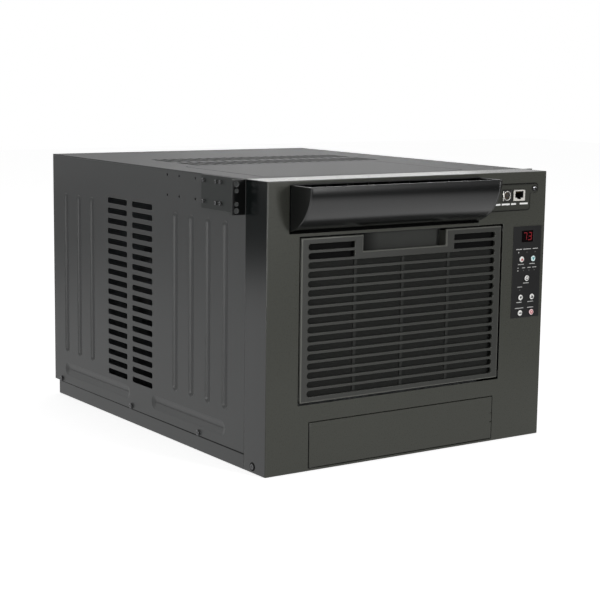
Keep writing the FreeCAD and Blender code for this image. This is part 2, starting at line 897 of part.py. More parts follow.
def intake_door():
    outer = block(door_left, door_right, front, at(door_rim_depth), door_bottom, door_top)
    toe = [edge for edge in outer.Edges
           if edge.BoundBox.YMax < front + edge_tolerance
           and edge.BoundBox.ZMax < door_bottom + edge_tolerance]
    outer = outer.makeFillet(door_corner_round, toe)
    inner = block(door_left + door_rim_wall, door_right - door_rim_wall, at(door_plate),
                  at(2 * door_rim_depth), door_bottom + door_rim_wall, door_top - door_rim_wall)
    door = outer.cut(inner)
    cup_back = at(door_plate + pull_depth)
    cup_floor = pull_bottom - pull_undercut
    cup = block(pull_left - pull_wall, pull_right + pull_wall, at(door_plate / 2.0),
                cup_back + pull_wall, cup_floor - pull_wall, door_top)
    ribs = []
    step = (slot_right - slot_left) / (rib_count + 1)
    for i in range(rib_count):
        x = slot_left + step * (i + 1)
        ribs.append(block(x - rib_width / 2.0, x + rib_width / 2.0, at(door_plate),
                          at(door_plate + rib_depth), door_bottom + door_rim_wall / 2.0,
                          door_top - door_rim_wall / 2.0))
    door = door.fuse([cup] + ribs)
    hollow = block(pull_left, pull_right, at(door_plate), cup_back, cup_floor, door_top - pull_wall)
    mouth = block(pull_left, pull_right, front - door_plate, at(door_plate), pull_bottom,
                  door_top + door_gap)
    pin = door_gap + lug_thickness
    axle = [rod_x(door_pin_radius, door_left - pin, door_left + door_rim_wall, door_axis_y, door_axis_z),
            rod_x(door_pin_radius, door_right - door_rim_wall, door_right + pin, door_axis_y, door_axis_z)]
    slots = door_slots()
    ribbed = Part.makeCompound(ribs)
    slots = [slot.cut(ribbed) for slot in slots]
    return door.cut(slots + [hollow, mouth]).fuse(axle).removeSplitter()


def door_pivot_lugs():
    return Part.makeCompound([
        pivot_lug(door_left - door_gap - lug_thickness, door_axis_y, door_axis_z, door_pin_radius),
        pivot_lug(door_right + door_gap, door_axis_y, door_axis_z, door_pin_radius),
    ])


filter_left = door_left + door_rim_wall + filter_play
filter_right = door_right - door_rim_wall - filter_play
filter_bottom = door_bottom + door_rim_wall + filter_play
filter_top = door_top - door_rim_wall - filter_play
filter_front = at(door_plate + rib_depth)
pull_underside = pull_bottom - pull_undercut - pull_wall - filter_play


def filter_blank(y0, y1):
    # sheet that fills the back of the door and steps down round the finger pull
    blank = block(filter_left, filter_right, y0, y1, filter_bottom, filter_top)
    side = pull_wall + filter_play
    return blank.cut(block(pull_left - side, pull_right + side, y0, y1, pull_underside, filter_top))


def filter_mesh():
    return filter_blank(filter_front, filter_front + filter_mesh_thickness)


def filter_frame():
    y0 = filter_front + filter_mesh_thickness
    y1 = y0 + filter_frame_depth
    bays = rib_count + 1
    bay = (filter_right - filter_left - filter_frame_bar) / bays
    cuts = []
    for i in range(bays):
        x0 = filter_left + filter_frame_bar + bay * i
        x1 = x0 + bay - filter_frame_bar
        beside_pull = x1 < pull_left - pull_wall or x0 > pull_right + pull_wall
        top = filter_top if beside_pull else pull_underside
        cuts.append(block(x0, x1, y0, y1, filter_bottom + filter_frame_bar, top - filter_frame_bar))
    return filter_blank(y0, y1).cut(cuts)


# Service door

def service_door():
    outer = block(service_left, service_right, front, at(service_rim_depth),
                  service_bottom, service_top)
    heel = [edge for edge in outer.Edges
            if edge.BoundBox.YMax < front + edge_tolerance
            and edge.BoundBox.XMax < service_left + edge_tolerance]
    outer = outer.makeFillet(service_corner_round, heel)
    inner = block(service_left + service_plate, service_right - service_plate, at(service_plate),
                  at(2 * service_rim_depth), service_bottom + service_plate,
                  service_top - service_plate)
    middle = (service_bottom + service_top) / 2.0
    slits = []
    for side in (-0.5, 0.5):
        z = middle + side * (service_tab_height + service_tab_slit)
        slits.append(block(service_right - service_tab_length, service_right, front,
                           at(service_rim_depth), z - service_tab_slit / 2.0,
                           z + service_tab_slit / 2.0))
    pins = [
        rod_z(service_pin_radius, sheet + service_pin_play / 2.0, service_bottom + service_plate,
              service_axis_x, service_axis_y),
        rod_z(service_pin_radius, service_top - service_plate, service_top + service_gap
              + lug_thickness, service_axis_x, service_axis_y),
    ]
    return outer.cut([inner] + slits).fuse(pins).removeSplitter()


def service_pivot_lugs():
    lugs = []
    for z0, z1 in ((sheet, service_bottom - service_pin_play),
                   (service_top + service_gap, service_top + service_gap + lug_thickness)):
        lug = block(service_axis_x - lug_half, service_axis_x + lug_half, at(sheet),
                    service_axis_y + lug_half, z0, z1)
        lugs.append(lug.cut(rod_z(service_pin_radius + running_fit, z0, z1,
                                  service_axis_x, service_axis_y)))
    return Part.makeCompound(lugs)


# Control panel

def control_overlay():
    plate = front_prism(overlay_left, overlay_right, front - overlay_thickness, front,
                        overlay_bottom, overlay_top, overlay_round)
    cuts = [block(overlay_middle - display_width / 2.0, overlay_middle + display_width / 2.0,
                  front - sheet, at(sheet), display_top - display_height, display_top)]
    half = button_stem / 2.0 + button_stem_play
    for x, z in button_places.values():
        cuts.append(block(x - half, x + half, front - sheet, at(sheet), z - half, z + half))
    return plate.cut(cuts)


def display_module():
    half = display_width / 2.0 - display_play
    return block(overlay_middle - half, overlay_middle + half,
                 front - overlay_thickness + display_recess, board_front,
                 display_top - display_height + display_play, display_top - display_play)


button_back = front - overlay_thickness - button_travel - button_end_play
switch_front = board_front - switch_height


def push_button(x, z):
    # round cap on a square stem that runs through the overlay to its switch
    cap = can_y(button_radius, button_back - button_cap, button_back, x, z)
    half = button_stem / 2.0
    stem = block(x - half, x + half, button_back - button_cap / 2.0,
                 switch_front - button_travel - button_end_play, z - half, z + half)
    return cap.fuse(stem).removeSplitter()


def control_board():
    x0 = overlay_left + board_edge
    x1 = overlay_right - board_edge
    z0 = overlay_bottom + board_edge
    z1 = overlay_top - board_edge
    pieces = [block(x0, x1, board_front, board_front + board_thickness, z0, z1)]
    half = switch_size / 2.0
    for x, z in button_places.values():
        pieces.append(block(x - half, x + half, switch_front, board_front, z - half, z + half))
    for x in (x0, x1 - board_post):
        for z in (z0, z1 - board_post):
            pieces.append(block(x, x + board_post, front, board_front, z, z + board_post))
    return pieces[0].fuse(pieces[1:]).removeSplitter()


# Interface plate

def interface_plate():
    y0 = front - plate_thickness
    plate = rounded_front(plate_left, plate_right, y0, front, plate_bottom, plate_top, plate_round)
    tab = rounded_front(plate_right - 3 * plate_round, plate_right + plate_tab_width, y0, front,
                        plate_top - plate_tab_height, plate_top, plate_round)
    cuts = []
    for x, width, tall in ((serial_x, serial_width, serial_face_height),
                           (network_x, network_width, network_face_height)):
        cuts.append(block(x - width / 2.0 - socket_play / 2.0, x + width / 2.0 + socket_play / 2.0,
                          front - sheet, at(sheet), socket_height - tall / 2.0 - socket_play / 2.0,
                          socket_height + tall / 2.0 + socket_play / 2.0))
    return plate.fuse(tab).cut(cuts).removeSplitter()


def serial_socket():
    body = block(serial_x - serial_width / 2.0, serial_x + serial_width / 2.0, socket_front, socket_back,
                 socket_height - serial_face_height / 2.0, socket_height + serial_face_height / 2.0)
    cup = can_y(serial_ring_radius, socket_front, socket_front + serial_cup_depth,
                serial_x, socket_height)
    core = can_y(serial_core_radius, socket_front + socket_proud, socket_front + serial_cup_depth,
                 serial_x, socket_height)
    return body.cut(cup.cut(core))


def network_jack():
    body = block(network_x - network_width / 2.0, network_x + network_width / 2.0,
                 socket_front, socket_back, socket_height - network_face_height / 2.0,
                 socket_height + network_face_height / 2.0)
    deep = socket_front + network_cup_depth
    cup = block(network_x - network_cup_width / 2.0, network_x + network_cup_width / 2.0,
                socket_front, deep, socket_height - network_cup_height / 2.0 + network_key_height / 2.0,
                socket_height + network_cup_height / 2.0 + network_key_height / 2.0)
    key = block(network_x - network_key_width / 2.0, network_x + network_key_width / 2.0,
                socket_front, deep, socket_height - network_cup_height / 2.0 - network_key_height / 2.0,
                socket_height)
    return body.cut(cup.fuse(key))


def interface_board():
    return block(plate_left + plate_round, plate_right, socket_back, socket_back + board_thickness,
                 plate_bottom, plate_top)


# Fan set

def spiral_point(angle, grow):
    turn = (angle - tongue_angle) / (2.0 * math.pi - tongue_angle)
    radius = scroll_tongue_radius + (scroll_end_radius - scroll_tongue_radius) * turn + grow
    return vec(fan_x + radius * math.cos(angle), 0, fan_z + radius * math.sin(angle))


def scroll_outline(grow):
    # wall folded along a spiral from the tongue round to the right, then straight up to the mouth
    top = duct_floor - duct_wall
    wall_x = discharge_left - grow
    begin = math.acos((wall_x - fan_x) / (scroll_tongue_radius + grow))
    step = (2.0 * math.pi - begin) / scroll_folds
    points = [spiral_point(begin + step * i, grow) for i in range(scroll_folds + 1)]
    points[0] = vec(wall_x, 0, points[0].z)
    return face_from(points + [vec(points[-1].x, 0, top), vec(wall_x, 0, top)])


def blower_scroll():
    start = at(scroll_start)
    depth = bulkhead_front - start
    outer = scroll_outline(scroll_wall)
    outer.translate(vec(0, start, 0))
    inner = scroll_outline(0.0)
    inner.translate(vec(0, start + scroll_wall, 0))
    hollow = inner.extrude(vec(0, depth - 2 * scroll_wall, 0))
    inlet = can_y(scroll_inlet_radius, start - scroll_wall, start + 2 * scroll_wall, fan_x, fan_z)
    passage = can_y(shaft_hole_radius, bulkhead_front - 2 * scroll_wall, bulkhead_front + scroll_wall,
                    fan_x, fan_z)
    return outer.extrude(vec(0, depth, 0)).cut([hollow, inlet, passage])


def blower_blade():
    # flat blade that leans forward between the two ends of the wheel
    inner = wheel_inner_radius + wheel_ring
    outer = wheel_radius - wheel_ring
    half = wheel_blade_thickness / 2.0
    lean = math.tan(math.radians(wheel_blade_lean)) * (outer - inner)
    y0 = wheel_front + wheel_ring / 2.0
    section = face_from([vec(fan_x + inner, y0, fan_z - half), vec(fan_x + outer, y0, fan_z + lean - half),
                         vec(fan_x + outer, y0, fan_z + lean + half), vec(fan_x + inner, y0, fan_z + half)])
    return section.extrude(vec(0, wheel_back - wheel_disc / 2.0 - y0, 0))


def blower_wheel():
    disc = can_y(wheel_radius, wheel_back - wheel_disc, wheel_back, fan_x, fan_z)
    ring = can_y(wheel_radius, wheel_front, wheel_front + wheel_ring, fan_x, fan_z)
    ring = ring.cut(can_y(wheel_inner_radius, wheel_front, wheel_front + wheel_ring, fan_x, fan_z))
    blade = blower_blade()
    blades = []
    for i in range(wheel_blades):
        copy = blade.copy()
        copy.rotate(vec(fan_x, 0, fan_z), vec(0, 1, 0), 360.0 * i / wheel_blades)
        blades.append(copy)
    bore = rod_y(shaft_radius + hub_fit, wheel_front, wheel_back, fan_x, fan_z)
    return disc.fuse([ring] + blades).cut(bore).removeSplitter()


def fan_shaft():
    return rod_y(shaft_radius, wheel_back - wheel_disc, at(fan_start + fan_length), fan_x, fan_z)


def fan_motor():
    start = at(motor_start)
    end = start + motor_length
    body = can_y(motor_radius, start, end, fan_x, fan_z)
    return body.cut(rod_y(shaft_radius + running_fit, start, end, fan_x, fan_z))


def motor_bracket():
    # upright plate that the motor's end is screwed to, with a foot on the base pan
    end = at(motor_start)
    start = end - bracket_plate
    half = bracket_width / 2.0
    plate = block(fan_x - half, fan_x + half, start, end, sheet, fan_z + half)
    foot = block(fan_x - half, fan_x + half, start, end + bracket_foot, sheet, sheet + bracket_plate)
    hole = rod_y(shaft_radius + bracket_shaft_play, start, end, fan_x, fan_z)
    return plate.fuse(foot).cut(hole).removeSplitter()


def fan_blade():
    # flat blade set at its pitch, short at the hub and long at the tip
    middle = at(fan_start + fan_length / 2.0)
    angle = math.radians(fan_blade_pitch)
    along = vec(math.sin(angle), math.cos(angle), 0)
    across = vec(math.cos(angle), -math.sin(angle), 0) * fan_blade_thickness
    root = vec(fan_x, middle, fan_z + fan_hub_radius - fan_blade_root) - across / 2.0
    tip = vec(fan_x, middle, fan_z + fan_tip_radius) - across / 2.0
    section = face_from([root + along * (fan_root_chord / 2.0), tip + along * (fan_tip_chord / 2.0),
                         tip - along * (fan_tip_chord / 2.0), root - along * (fan_root_chord / 2.0)])
    return section.extrude(across)


def condenser_fan():
    start = at(fan_start)
    end = start + fan_length
    hub = can_y(fan_hub_radius, start, end, fan_x, fan_z)
    blade = fan_blade()
    blades = []
    for i in range(fan_blades):
        copy = blade.copy()
        copy.rotate(vec(fan_x, 0, fan_z), vec(0, 1, 0), 360.0 * i / fan_blades)
        blades.append(copy)
    bore = rod_y(shaft_radius + hub_fit, start, end, fan_x, fan_z)
    return hub.fuse(blades).cut(bore).removeSplitter()


def fan_shroud():
    corner = math.hypot(fan_tip_radius, fan_tip_chord / 2.0)
    plate = block(-clear_half, right - shroud_pipe_gap, shroud_front, shroud_front + sheet,
                  sheet, ceiling)
    return plate.cut(can_y(corner + shroud_tip_play, shroud_front - sheet, shroud_front + 2 * sheet,
                           fan_x, fan_z))


def bulkhead():
    wall = block(-clear_half, clear_half, bulkhead_front, bulkhead_back, sheet, ceiling)
    y0 = bulkhead_front - sheet
    y1 = bulkhead_back + sheet
    cuts = [can_y(shaft_hole_radius, y0, y1, fan_x, fan_z)]
    for z, radius in ((suction_height, pipe_radius), (capillary_height, capillary_radius)):
        half = radius + pipe_hole_clearance
        cuts.append(block(corridor_x - half, corridor_x + half, y0, y1, z - half, z + half))
    return wall.cut(cuts)


# Cooling circuit

def coil(x0, x1, y0, y1, z0, z1, plate_bottom_z, plate_top_z):
    pieces = [block(x0, x1, y0, y1, z0, z1)]
    for p0, p1 in ((x0 - coil_end_plate, x0), (x1, x1 + coil_end_plate)):
        pieces.append(block(p0, p1, y0, y1, plate_bottom_z, plate_top_z))
    return pieces[0].fuse(pieces[1:]).removeSplitter()


def evaporator_coil():
    top = duct_floor - duct_wall
    return coil(evaporator_left, evaporator_right, at(evaporator_start),
                at(evaporator_start + evaporator_depth), tray_top, top, tray_top, top)


def condenser_coil():
    inner = condenser_half - coil_end_plate
    return coil(-inner, inner, at(condenser_start), at(condenser_start + condenser_depth),
                condenser_bottom, condenser_top, sheet, condenser_plate_top)


def drip_tray():
    x0 = evaporator_left - coil_end_plate
    x1 = evaporator_right + coil_end_plate
    y0 = at(tray_start)
    y1 = at(tray_start + tray_length)
    tray = block(x0, x1, y0, y1, sheet, tray_top)
    fall = tray_channel_depth / 2.0
    floor0 = tray_top - tray_channel_depth + fall
    floor1 = tray_top - tray_channel_depth
    c0 = at(evaporator_start) + tray_wall
    c1 = at(evaporator_start + evaporator_depth) - tray_wall
    # channel under the coil that falls to the right
    profile = face_from([vec(x0 + tray_wall, c0, tray_top), vec(x1 - tray_wall, c0, tray_top),
                         vec(x1 - tray_wall, c0, floor1), vec(x0 + tray_wall, c0, floor0)])
    return tray.cut(profile.extrude(vec(0, c1 - c0, 0)))


def compressor():
    # straight wall with sloping ends on a three cornered foot
    low = compressor_bottom + compressor_foot
    levels = [(compressor_crown_radius, low), (compressor_radius, low + compressor_dome),
              (compressor_radius, compressor_top - compressor_dome),
              (compressor_crown_radius, compressor_top)]
    rings = [ring_points(radius, round_sides, lambda u, v: vec(compressor_x + u, compressor_y + v, z))
             for radius, z in levels]
    shell = faceted_solid(rings)
    corners = [vec(px, py, compressor_bottom) for px, py in grommet_places(compressor_foot_reach)]
    foot = face_from(corners).extrude(vec(0, 0, compressor_foot))
    return shell.fuse(foot).removeSplitter()


def grommet_places(extra):
    reach = grommet_reach + extra
    places = []
    for i in range(grommet_count):
        angle = math.radians(90.0 + 360.0 * i / grommet_count)
        places.append((compressor_x + reach * math.cos(angle), compressor_y + reach * math.sin(angle)))
    return places


def compressor_grommets():
    return Part.makeCompound([can_z(grommet_radius, sheet, compressor_bottom, x, y)
                              for x, y in grommet_places(0.0)])


def accumulator():
    can = can_z(accumulator_radius, accumulator_bottom, accumulator_top, accumulator_x, accumulator_y)
    middle = (accumulator_bottom + accumulator_top) / 2.0
    half = accumulator_strap / 2.0
    strap = block(0, accumulator_offset, -half, half, middle - half, middle + half)
    strap.rotate(vec(0, 0, 0), vec(0, 0, 1), accumulator_angle + 180.0)
    strap.translate(vec(accumulator_x, accumulator_y, 0))
    strap = strap.cut(can_z(compressor_radius, 0, case_height, compressor_x, compressor_y))
    return can.fuse(strap).removeSplitter()


def tube(points, radius):
    # a tube along straight runs with mitred corners
    turn = FreeCAD.Rotation(vec(0, 0, 1), points[1] - points[0])
    ring = ring_points(radius, pipe_sides, lambda u, v: points[0] + turn.multVec(vec(u, v, 0)))
    section = Part.makePolygon(ring + [ring[0]])
    return Part.makePolygon(points).makePipeShell([section], True, False, 1)


def suction_pipe():
    x0 = evaporator_right + coil_end_plate
    return tube([vec(x0, evaporator_middle, suction_height),
                 vec(corridor_x, evaporator_middle, suction_height),
                 vec(corridor_x, accumulator_y, suction_height),
                 vec(accumulator_x, accumulator_y, suction_height),
                 vec(accumulator_x, accumulator_y, accumulator_top)], pipe_radius)


def discharge_pipe():
    return tube([vec(compressor_x, compressor_y, compressor_top),
                 vec(compressor_x, compressor_y, discharge_height),
                 vec(pipe_side_x, compressor_y, discharge_height),
                 vec(pipe_side_x, condenser_middle, discharge_height),
                 vec(condenser_half, condenser_middle, discharge_height)], pipe_radius)


def liquid_pipe():
    return tube([vec(condenser_half, condenser_middle, liquid_height),
                 vec(pipe_side_x, condenser_middle, liquid_height),
                 vec(pipe_side_x, at(drier_start), liquid_height),
                 vec(pipe_side_x, at(drier_start), drier_bottom)], capillary_radius)


def filter_drier():
    return can_z(drier_radius, drier_bottom, drier_bottom + drier_length, pipe_side_x, at(drier_start))


def capillary_tube():
    x0 = evaporator_right + coil_end_plate
    turn = (bulkhead_back + at(motor_start)) / 2.0
    return tube([vec(pipe_side_x, at(drier_start), drier_bottom + drier_length),
                 vec(pipe_side_x, at(drier_start), capillary_height),
                 vec(pipe_side_x, turn, capillary_height),
                 vec(corridor_x, turn, capillary_height),
                 vec(corridor_x, evaporator_middle, capillary_height),
                 vec(x0, evaporator_middle, capillary_height)], capillary_radius)


# Electrical pieces

def control_box():
    x0 = corridor_x + pipe_radius + box_pipe_gap
    x1 = right - box_right_margin
    outer = block(x0, x1, at(box_start), bulkhead_front, box_bottom, box_top)
    inner = block(x0 + sheet, x1 - sheet, at(box_start) + sheet, bulkhead_front - sheet,
                  box_bottom + sheet, box_top - sheet)
    return outer.cut(inner)


def run_capacitor():
    y = at(tray_start + tray_length) + capacitor_tray_gap + capacitor_radius
    return can_z(capacitor_radius, sheet, sheet + capacitor_height,
                 right - capacitor_right_margin - capacitor_radius, y)


def power_inlet():
    flange = front_prism(inlet_x - inlet_flange_width / 2.0, inlet_x + inlet_flange_width / 2.0,
                         rear_face, rear_face + inlet_flange_thickness,
                         inlet_height - inlet_flange_tall / 2.0,
                         inlet_height + inlet_flange_tall / 2.0, inlet_cup_corner)
    body = block(inlet_x - inlet_width / 2.0, inlet_x + inlet_width / 2.0,
                 rear_face - inlet_body_depth, rear_face,
                 inlet_height - inlet_tall / 2.0, inlet_height + inlet_tall / 2.0)
    mouth = rear_face + inlet_flange_thickness
    hw = inlet_cup_width / 2.0
    hz = inlet_cup_tall / 2.0
    c = inlet_cup_corner
    outline = face_from([
        vec(inlet_x - hw, mouth, inlet_height - hz), vec(inlet_x + hw, mouth, inlet_height - hz),
        vec(inlet_x + hw, mouth, inlet_height + hz - c), vec(inlet_x + hw - c, mouth, inlet_height + hz),
        vec(inlet_x - hw + c, mouth, inlet_height + hz), vec(inlet_x - hw, mouth, inlet_height + hz - c),
    ])
    cup = outline.extrude(vec(0, -inlet_cup_depth, 0))
    pins = []
    half = inlet_pin_thickness / 2.0
    for x, z in ((-inlet_pin_spread, -inlet_pin_stagger), (inlet_pin_spread, -inlet_pin_stagger),
                 (0.0, inlet_pin_stagger)):
        low = inlet_height + z - inlet_pin_height / 2.0
        pins.append(block(inlet_x + x - half, inlet_x + x + half, mouth - inlet_cup_depth,
                          mouth - inlet_cup_depth + inlet_pin_depth, low, low + inlet_pin_height))
    return flange.fuse(body).cut(cup).fuse(pins).removeSplitter()


def all_nodes():
    side = side_panel()
    ear = rack_ear()
    nodes = {
        "base_pan": base_pan(),
        "side_panel_left": side,
        "side_panel_right": mirrored(side),
        "top_panel": top_panel(),
        "top_cover": top_cover(),
        "rear_panel": rear_panel(),
        "front_bezel": front_bezel(),
        "rack_ear_left": ear,
        "rack_ear_right": mirrored(ear),
        "case_screws": case_screws(),
        "air_hood": air_hood(),
        "hood_pivot_lugs": hood_pivot_lugs(),
        "outlet_duct": outlet_duct(),
        "outlet_vanes": outlet_vanes(),
        "intake_door": intake_door(),
        "door_pivot_lugs": door_pivot_lugs(),
        "filter_frame": filter_frame(),
        "filter_mesh": filter_mesh(),
        "service_door": service_door(),
        "service_pivot_lugs": service_pivot_lugs(),
        "control_overlay": control_overlay(),
        "display_module": display_module(),
        "control_board": control_board(),
        "interface_plate": interface_plate(),
        "serial_socket": serial_socket(),
        "network_jack": network_jack(),
        "interface_board": interface_board(),
        "bulkhead": bulkhead(),
        "blower_scroll": blower_scroll(),
        "blower_wheel": blower_wheel(),
        "fan_shaft": fan_shaft(),
        "fan_motor": fan_motor(),
        "motor_bracket": motor_bracket(),
        "condenser_fan": condenser_fan(),
        "fan_shroud": fan_shroud(),
        "evaporator_coil": evaporator_coil(),
        "condenser_coil": condenser_coil(),
        "drip_tray": drip_tray(),
        "compressor": compressor(),
        "compressor_grommets": compressor_grommets(),
        "accumulator": accumulator(),
        "suction_pipe": suction_pipe(),
        "discharge_pipe": discharge_pipe(),
        "liquid_pipe": liquid_pipe(),
        "filter_drier": filter_drier(),
        "capillary_tube": capillary_tube(),
        "control_box": control_box(),
        "run_capacitor": run_capacitor(),
        "power_inlet": power_inlet(),
    }
    for name, (x, z) in button_places.items():
        nodes[name] = push_button(x, z)
    return nodes


os.makedirs("parts", exist_ok=True)
for name, shape in all_nodes().items():
    shape.exportStep("parts/" + name + ".step")
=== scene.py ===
import bpy
import bmesh
import json
import math
from mathutils import Matrix, Vector


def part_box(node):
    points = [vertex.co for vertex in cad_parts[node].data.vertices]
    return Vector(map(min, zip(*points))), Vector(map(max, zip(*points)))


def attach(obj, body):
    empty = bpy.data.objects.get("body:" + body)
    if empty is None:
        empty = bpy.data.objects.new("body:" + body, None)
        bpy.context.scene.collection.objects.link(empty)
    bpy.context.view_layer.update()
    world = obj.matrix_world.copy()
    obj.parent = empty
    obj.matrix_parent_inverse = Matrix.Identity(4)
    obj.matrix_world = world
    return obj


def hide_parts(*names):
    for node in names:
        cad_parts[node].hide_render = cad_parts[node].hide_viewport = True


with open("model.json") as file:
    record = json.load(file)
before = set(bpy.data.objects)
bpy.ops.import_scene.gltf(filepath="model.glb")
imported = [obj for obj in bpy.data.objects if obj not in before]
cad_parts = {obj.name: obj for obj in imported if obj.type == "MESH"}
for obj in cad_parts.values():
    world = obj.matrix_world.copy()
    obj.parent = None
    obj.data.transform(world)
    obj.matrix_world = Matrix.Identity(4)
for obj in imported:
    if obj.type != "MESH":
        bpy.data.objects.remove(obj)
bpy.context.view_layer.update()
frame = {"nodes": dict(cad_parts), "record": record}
nodes = frame["nodes"]
scene = bpy.context.scene
scene.view_settings.view_transform = "Standard"
mm = 0.001
print("frame loaded:", len(nodes), "nodes")


# small tools: lengths are in mm until a mesh is made

def addPiece(name, mesh, body, slotName, finishes=None, stands=()):
    # a piece wears its slot's finish unless others are given
    piece = bpy.data.objects.new(name, mesh)
    scene.collection.objects.link(piece)
    for key in finishes or [slotName]:
        mesh.materials.append(finish[key])
    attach(piece, body)
    if stands:
        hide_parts(*stands)
    return piece


# outlines are lists of (u, v), the outside counter-clockwise

def roundedOutline(u0, u1, v0, v1, radius, steps=6, square=""):
    # an end named in square, "left" or "right", keeps sharp corners
    points = []
    for u, v, start, end in ((u1, v0, -90, "right"), (u1, v1, 0, "right"),
                             (u0, v1, 90, "left"), (u0, v0, 180, "left")):
        if square == end:
            points.append((u, v))
            continue
        cu = u + (radius if u == u0 else -radius)
        cv = v + (radius if v == v0 else -radius)
        for i in range(steps + 1):
            turn = math.radians(start + 90 * i / steps)
            points.append((cu + radius * math.cos(turn), cv + radius * math.sin(turn)))
    return points


def circleOutline(u, v, radius, steps=32):
    turns = [2 * math.pi * i / steps for i in range(steps)]
    return [(u + radius * math.cos(t), v + radius * math.sin(t)) for t in turns]


def grownOutline(points, grow):
    # each corner moves out along its mitre
    moved = []
    for i, (u, v) in enumerate(points):
        before, after = Vector(points[i - 1]), Vector(points[(i + 1) % len(points)])
        one = (Vector((u, v)) - before).normalized()
        two = (after - Vector((u, v))).normalized()
        normal = Vector((one.y, -one.x)) + Vector((two.y, -two.x))
        normal = normal / max(normal.length_squared / 2, 1e-6)
        moved.append((u + normal.x * grow, v + normal.y * grow))
    return moved


squareCorners = ((-1, -1), (1, -1), (1, 1), (-1, 1))
# u, v and depth to x, z and y, and to y, z and x
frontAxes = Matrix(((1, 0, 0), (0, 0, 1), (0, 1, 0))).to_4x4()
sideAxes = Matrix(((0, 0, 1), (1, 0, 0), (0, 1, 0))).to_4x4()


def aim(direction, place):
    turn = Vector((0, 0, 1)).rotation_difference(Vector(direction)).to_matrix().to_4x4()
    return Matrix.Translation(Vector(place) * mm) @ turn


def plateMesh(outline, holes, low, high, edge, axes, rounds=1):
    # flat plate between two depths with real holes and a small round on every edge
    curve = bpy.data.curves.new("plate", "CURVE")
    curve.dimensions = "2D"
    curve.fill_mode = "BOTH"
    curve.extrude = ((high - low) / 2 - edge) * mm
    curve.bevel_depth = edge * mm
    curve.bevel_resolution = rounds
    for loop in [grownOutline(outline, -edge)] + [grownOutline(hole, edge)[::-1] for hole in holes]:
        spline = curve.splines.new("POLY")
        spline.points.add(len(loop) - 1)
        for point, (u, v) in zip(spline.points, loop):
            point.co = (u * mm, v * mm, 0, 1)
        spline.use_cyclic_u = True
    holder = bpy.data.objects.new("plate", curve)
    scene.collection.objects.link(holder)
    bpy.context.view_layer.update()
    mesh = bpy.data.meshes.new_from_object(holder.evaluated_get(bpy.context.evaluated_depsgraph_get()))
    bpy.data.objects.remove(holder)
    bpy.data.curves.remove(curve)
    mesh.transform(axes @ Matrix.Translation((0, 0, (low + high) / 2 * mm)))
    if axes.determinant() < 0:
        mesh.flip_normals()
    return mesh


def boxInto(bm, low, high, edge=0.0):
    made = bmesh.ops.create_cube(bm, size=1.0)["verts"]
    for vert in made:
        vert.co = Vector([low[k] + (vert.co[k] + 0.5) * (high[k] - low[k]) for k in range(3)]) * mm
    if edge:
        edges = list({e for v in made for e in v.link_edges})
        bmesh.ops.bevel(bm, geom=edges, offset=edge * mm, segments=2, profile=0.5, affect="EDGES")


def bridge(bm, low, high):
    # faces between two rings, of which one may be a single point
    steps = max(len(low), len(high))
    for i in range(steps):
        j = (i + 1) % steps
        corners = (low[i % len(low)], low[j % len(low)], high[j % len(high)], high[i % len(high)])
        bm.faces.new(list(dict.fromkeys(corners)))


def turnedInto(bm, profile, matrix, steps=32):
    # profile is a list of (radius, height), turned about the matrix's z axis
    rings = []
    for radius, height in profile:
        ring = circleOutline(0, 0, radius, steps) if radius > 1e-4 else [(0, 0)]
        rings.append([bm.verts.new(matrix @ (Vector((u, v, height)) * mm)) for u, v in ring])
    for low, high in zip(rings, rings[1:]):
        bridge(bm, low, high)


def smoothed(mesh, angle):
    mesh.shade_smooth()
    mesh.set_sharp_from_angle(angle=math.radians(angle))
    return mesh


def meshFrom(bm, name, smoothAngle=None):
    bmesh.ops.recalc_face_normals(bm, faces=bm.faces)
    mesh = bpy.data.meshes.new(name)
    bm.to_mesh(mesh)
    bm.free()
    return mesh if smoothAngle is None else smoothed(mesh, smoothAngle)


def joinMeshes(meshes, name):
    bm = bmesh.new()
    for mesh in meshes:
        bm.from_mesh(mesh)
    joined = bpy.data.meshes.new(name)
    bm.to_mesh(joined)
    bm.free()
    for mesh in meshes:
        bpy.data.meshes.remove(mesh)
    return joined


# shader tools: an output of one node goes into the next

def hexToLinear(code):
    values = [int(code[i:i + 2], 16) / 255 for i in (1, 3, 5)]
    return tuple(v / 12.92 if v <= 0.04045 else ((v + 0.055) / 1.055) ** 2.4 for v in values) + (1.0,)


def addNode(tree, kind, settings=None, links=None):
    node = tree.nodes.new(kind)
    for key, value in (settings or {}).items():
        if isinstance(key, int) or key in node.inputs:
            node.inputs[key].default_value = value
        else:
            setattr(node, key, value)
    for key, source in (links or {}).items():
        tree.links.new(source, node.inputs[key])
    return node


def newMaterial(name):
    material = bpy.data.materials.new(name)
    material.use_nodes = True
    tree = material.node_tree
    tree.nodes.clear()
    return material, tree, addNode(tree, "ShaderNodeTexCoord").outputs


def closeMaterial(material, settings, links):
    tree = material.node_tree
    skin = addNode(tree, "ShaderNodeBsdfPrincipled", settings, links)
    addNode(tree, "ShaderNodeOutputMaterial", None, {"Surface": skin.outputs[0]})
    return material


def blend(tree, share, first, second):
    # each colour is a hex code or an output
    settings, links = {"data_type": "RGBA"}, {0: share}
    for key, colour in ((6, first), (7, second)):
        if isinstance(colour, str):
            settings[key] = hexToLinear(colour)
        else:
            links[key] = colour
    return addNode(tree, "ShaderNodeMix", settings, links).outputs[2]


def mapped(tree, value, low, high, toLow=0.0, toHigh=1.0, kind="LINEAR"):
    settings = {"interpolation_type": kind, "From Min": low, "From Max": high, "To Min": toLow, "To Max": toHigh}
    return addNode(tree, "ShaderNodeMapRange", settings, {"Value": value}).outputs[0]


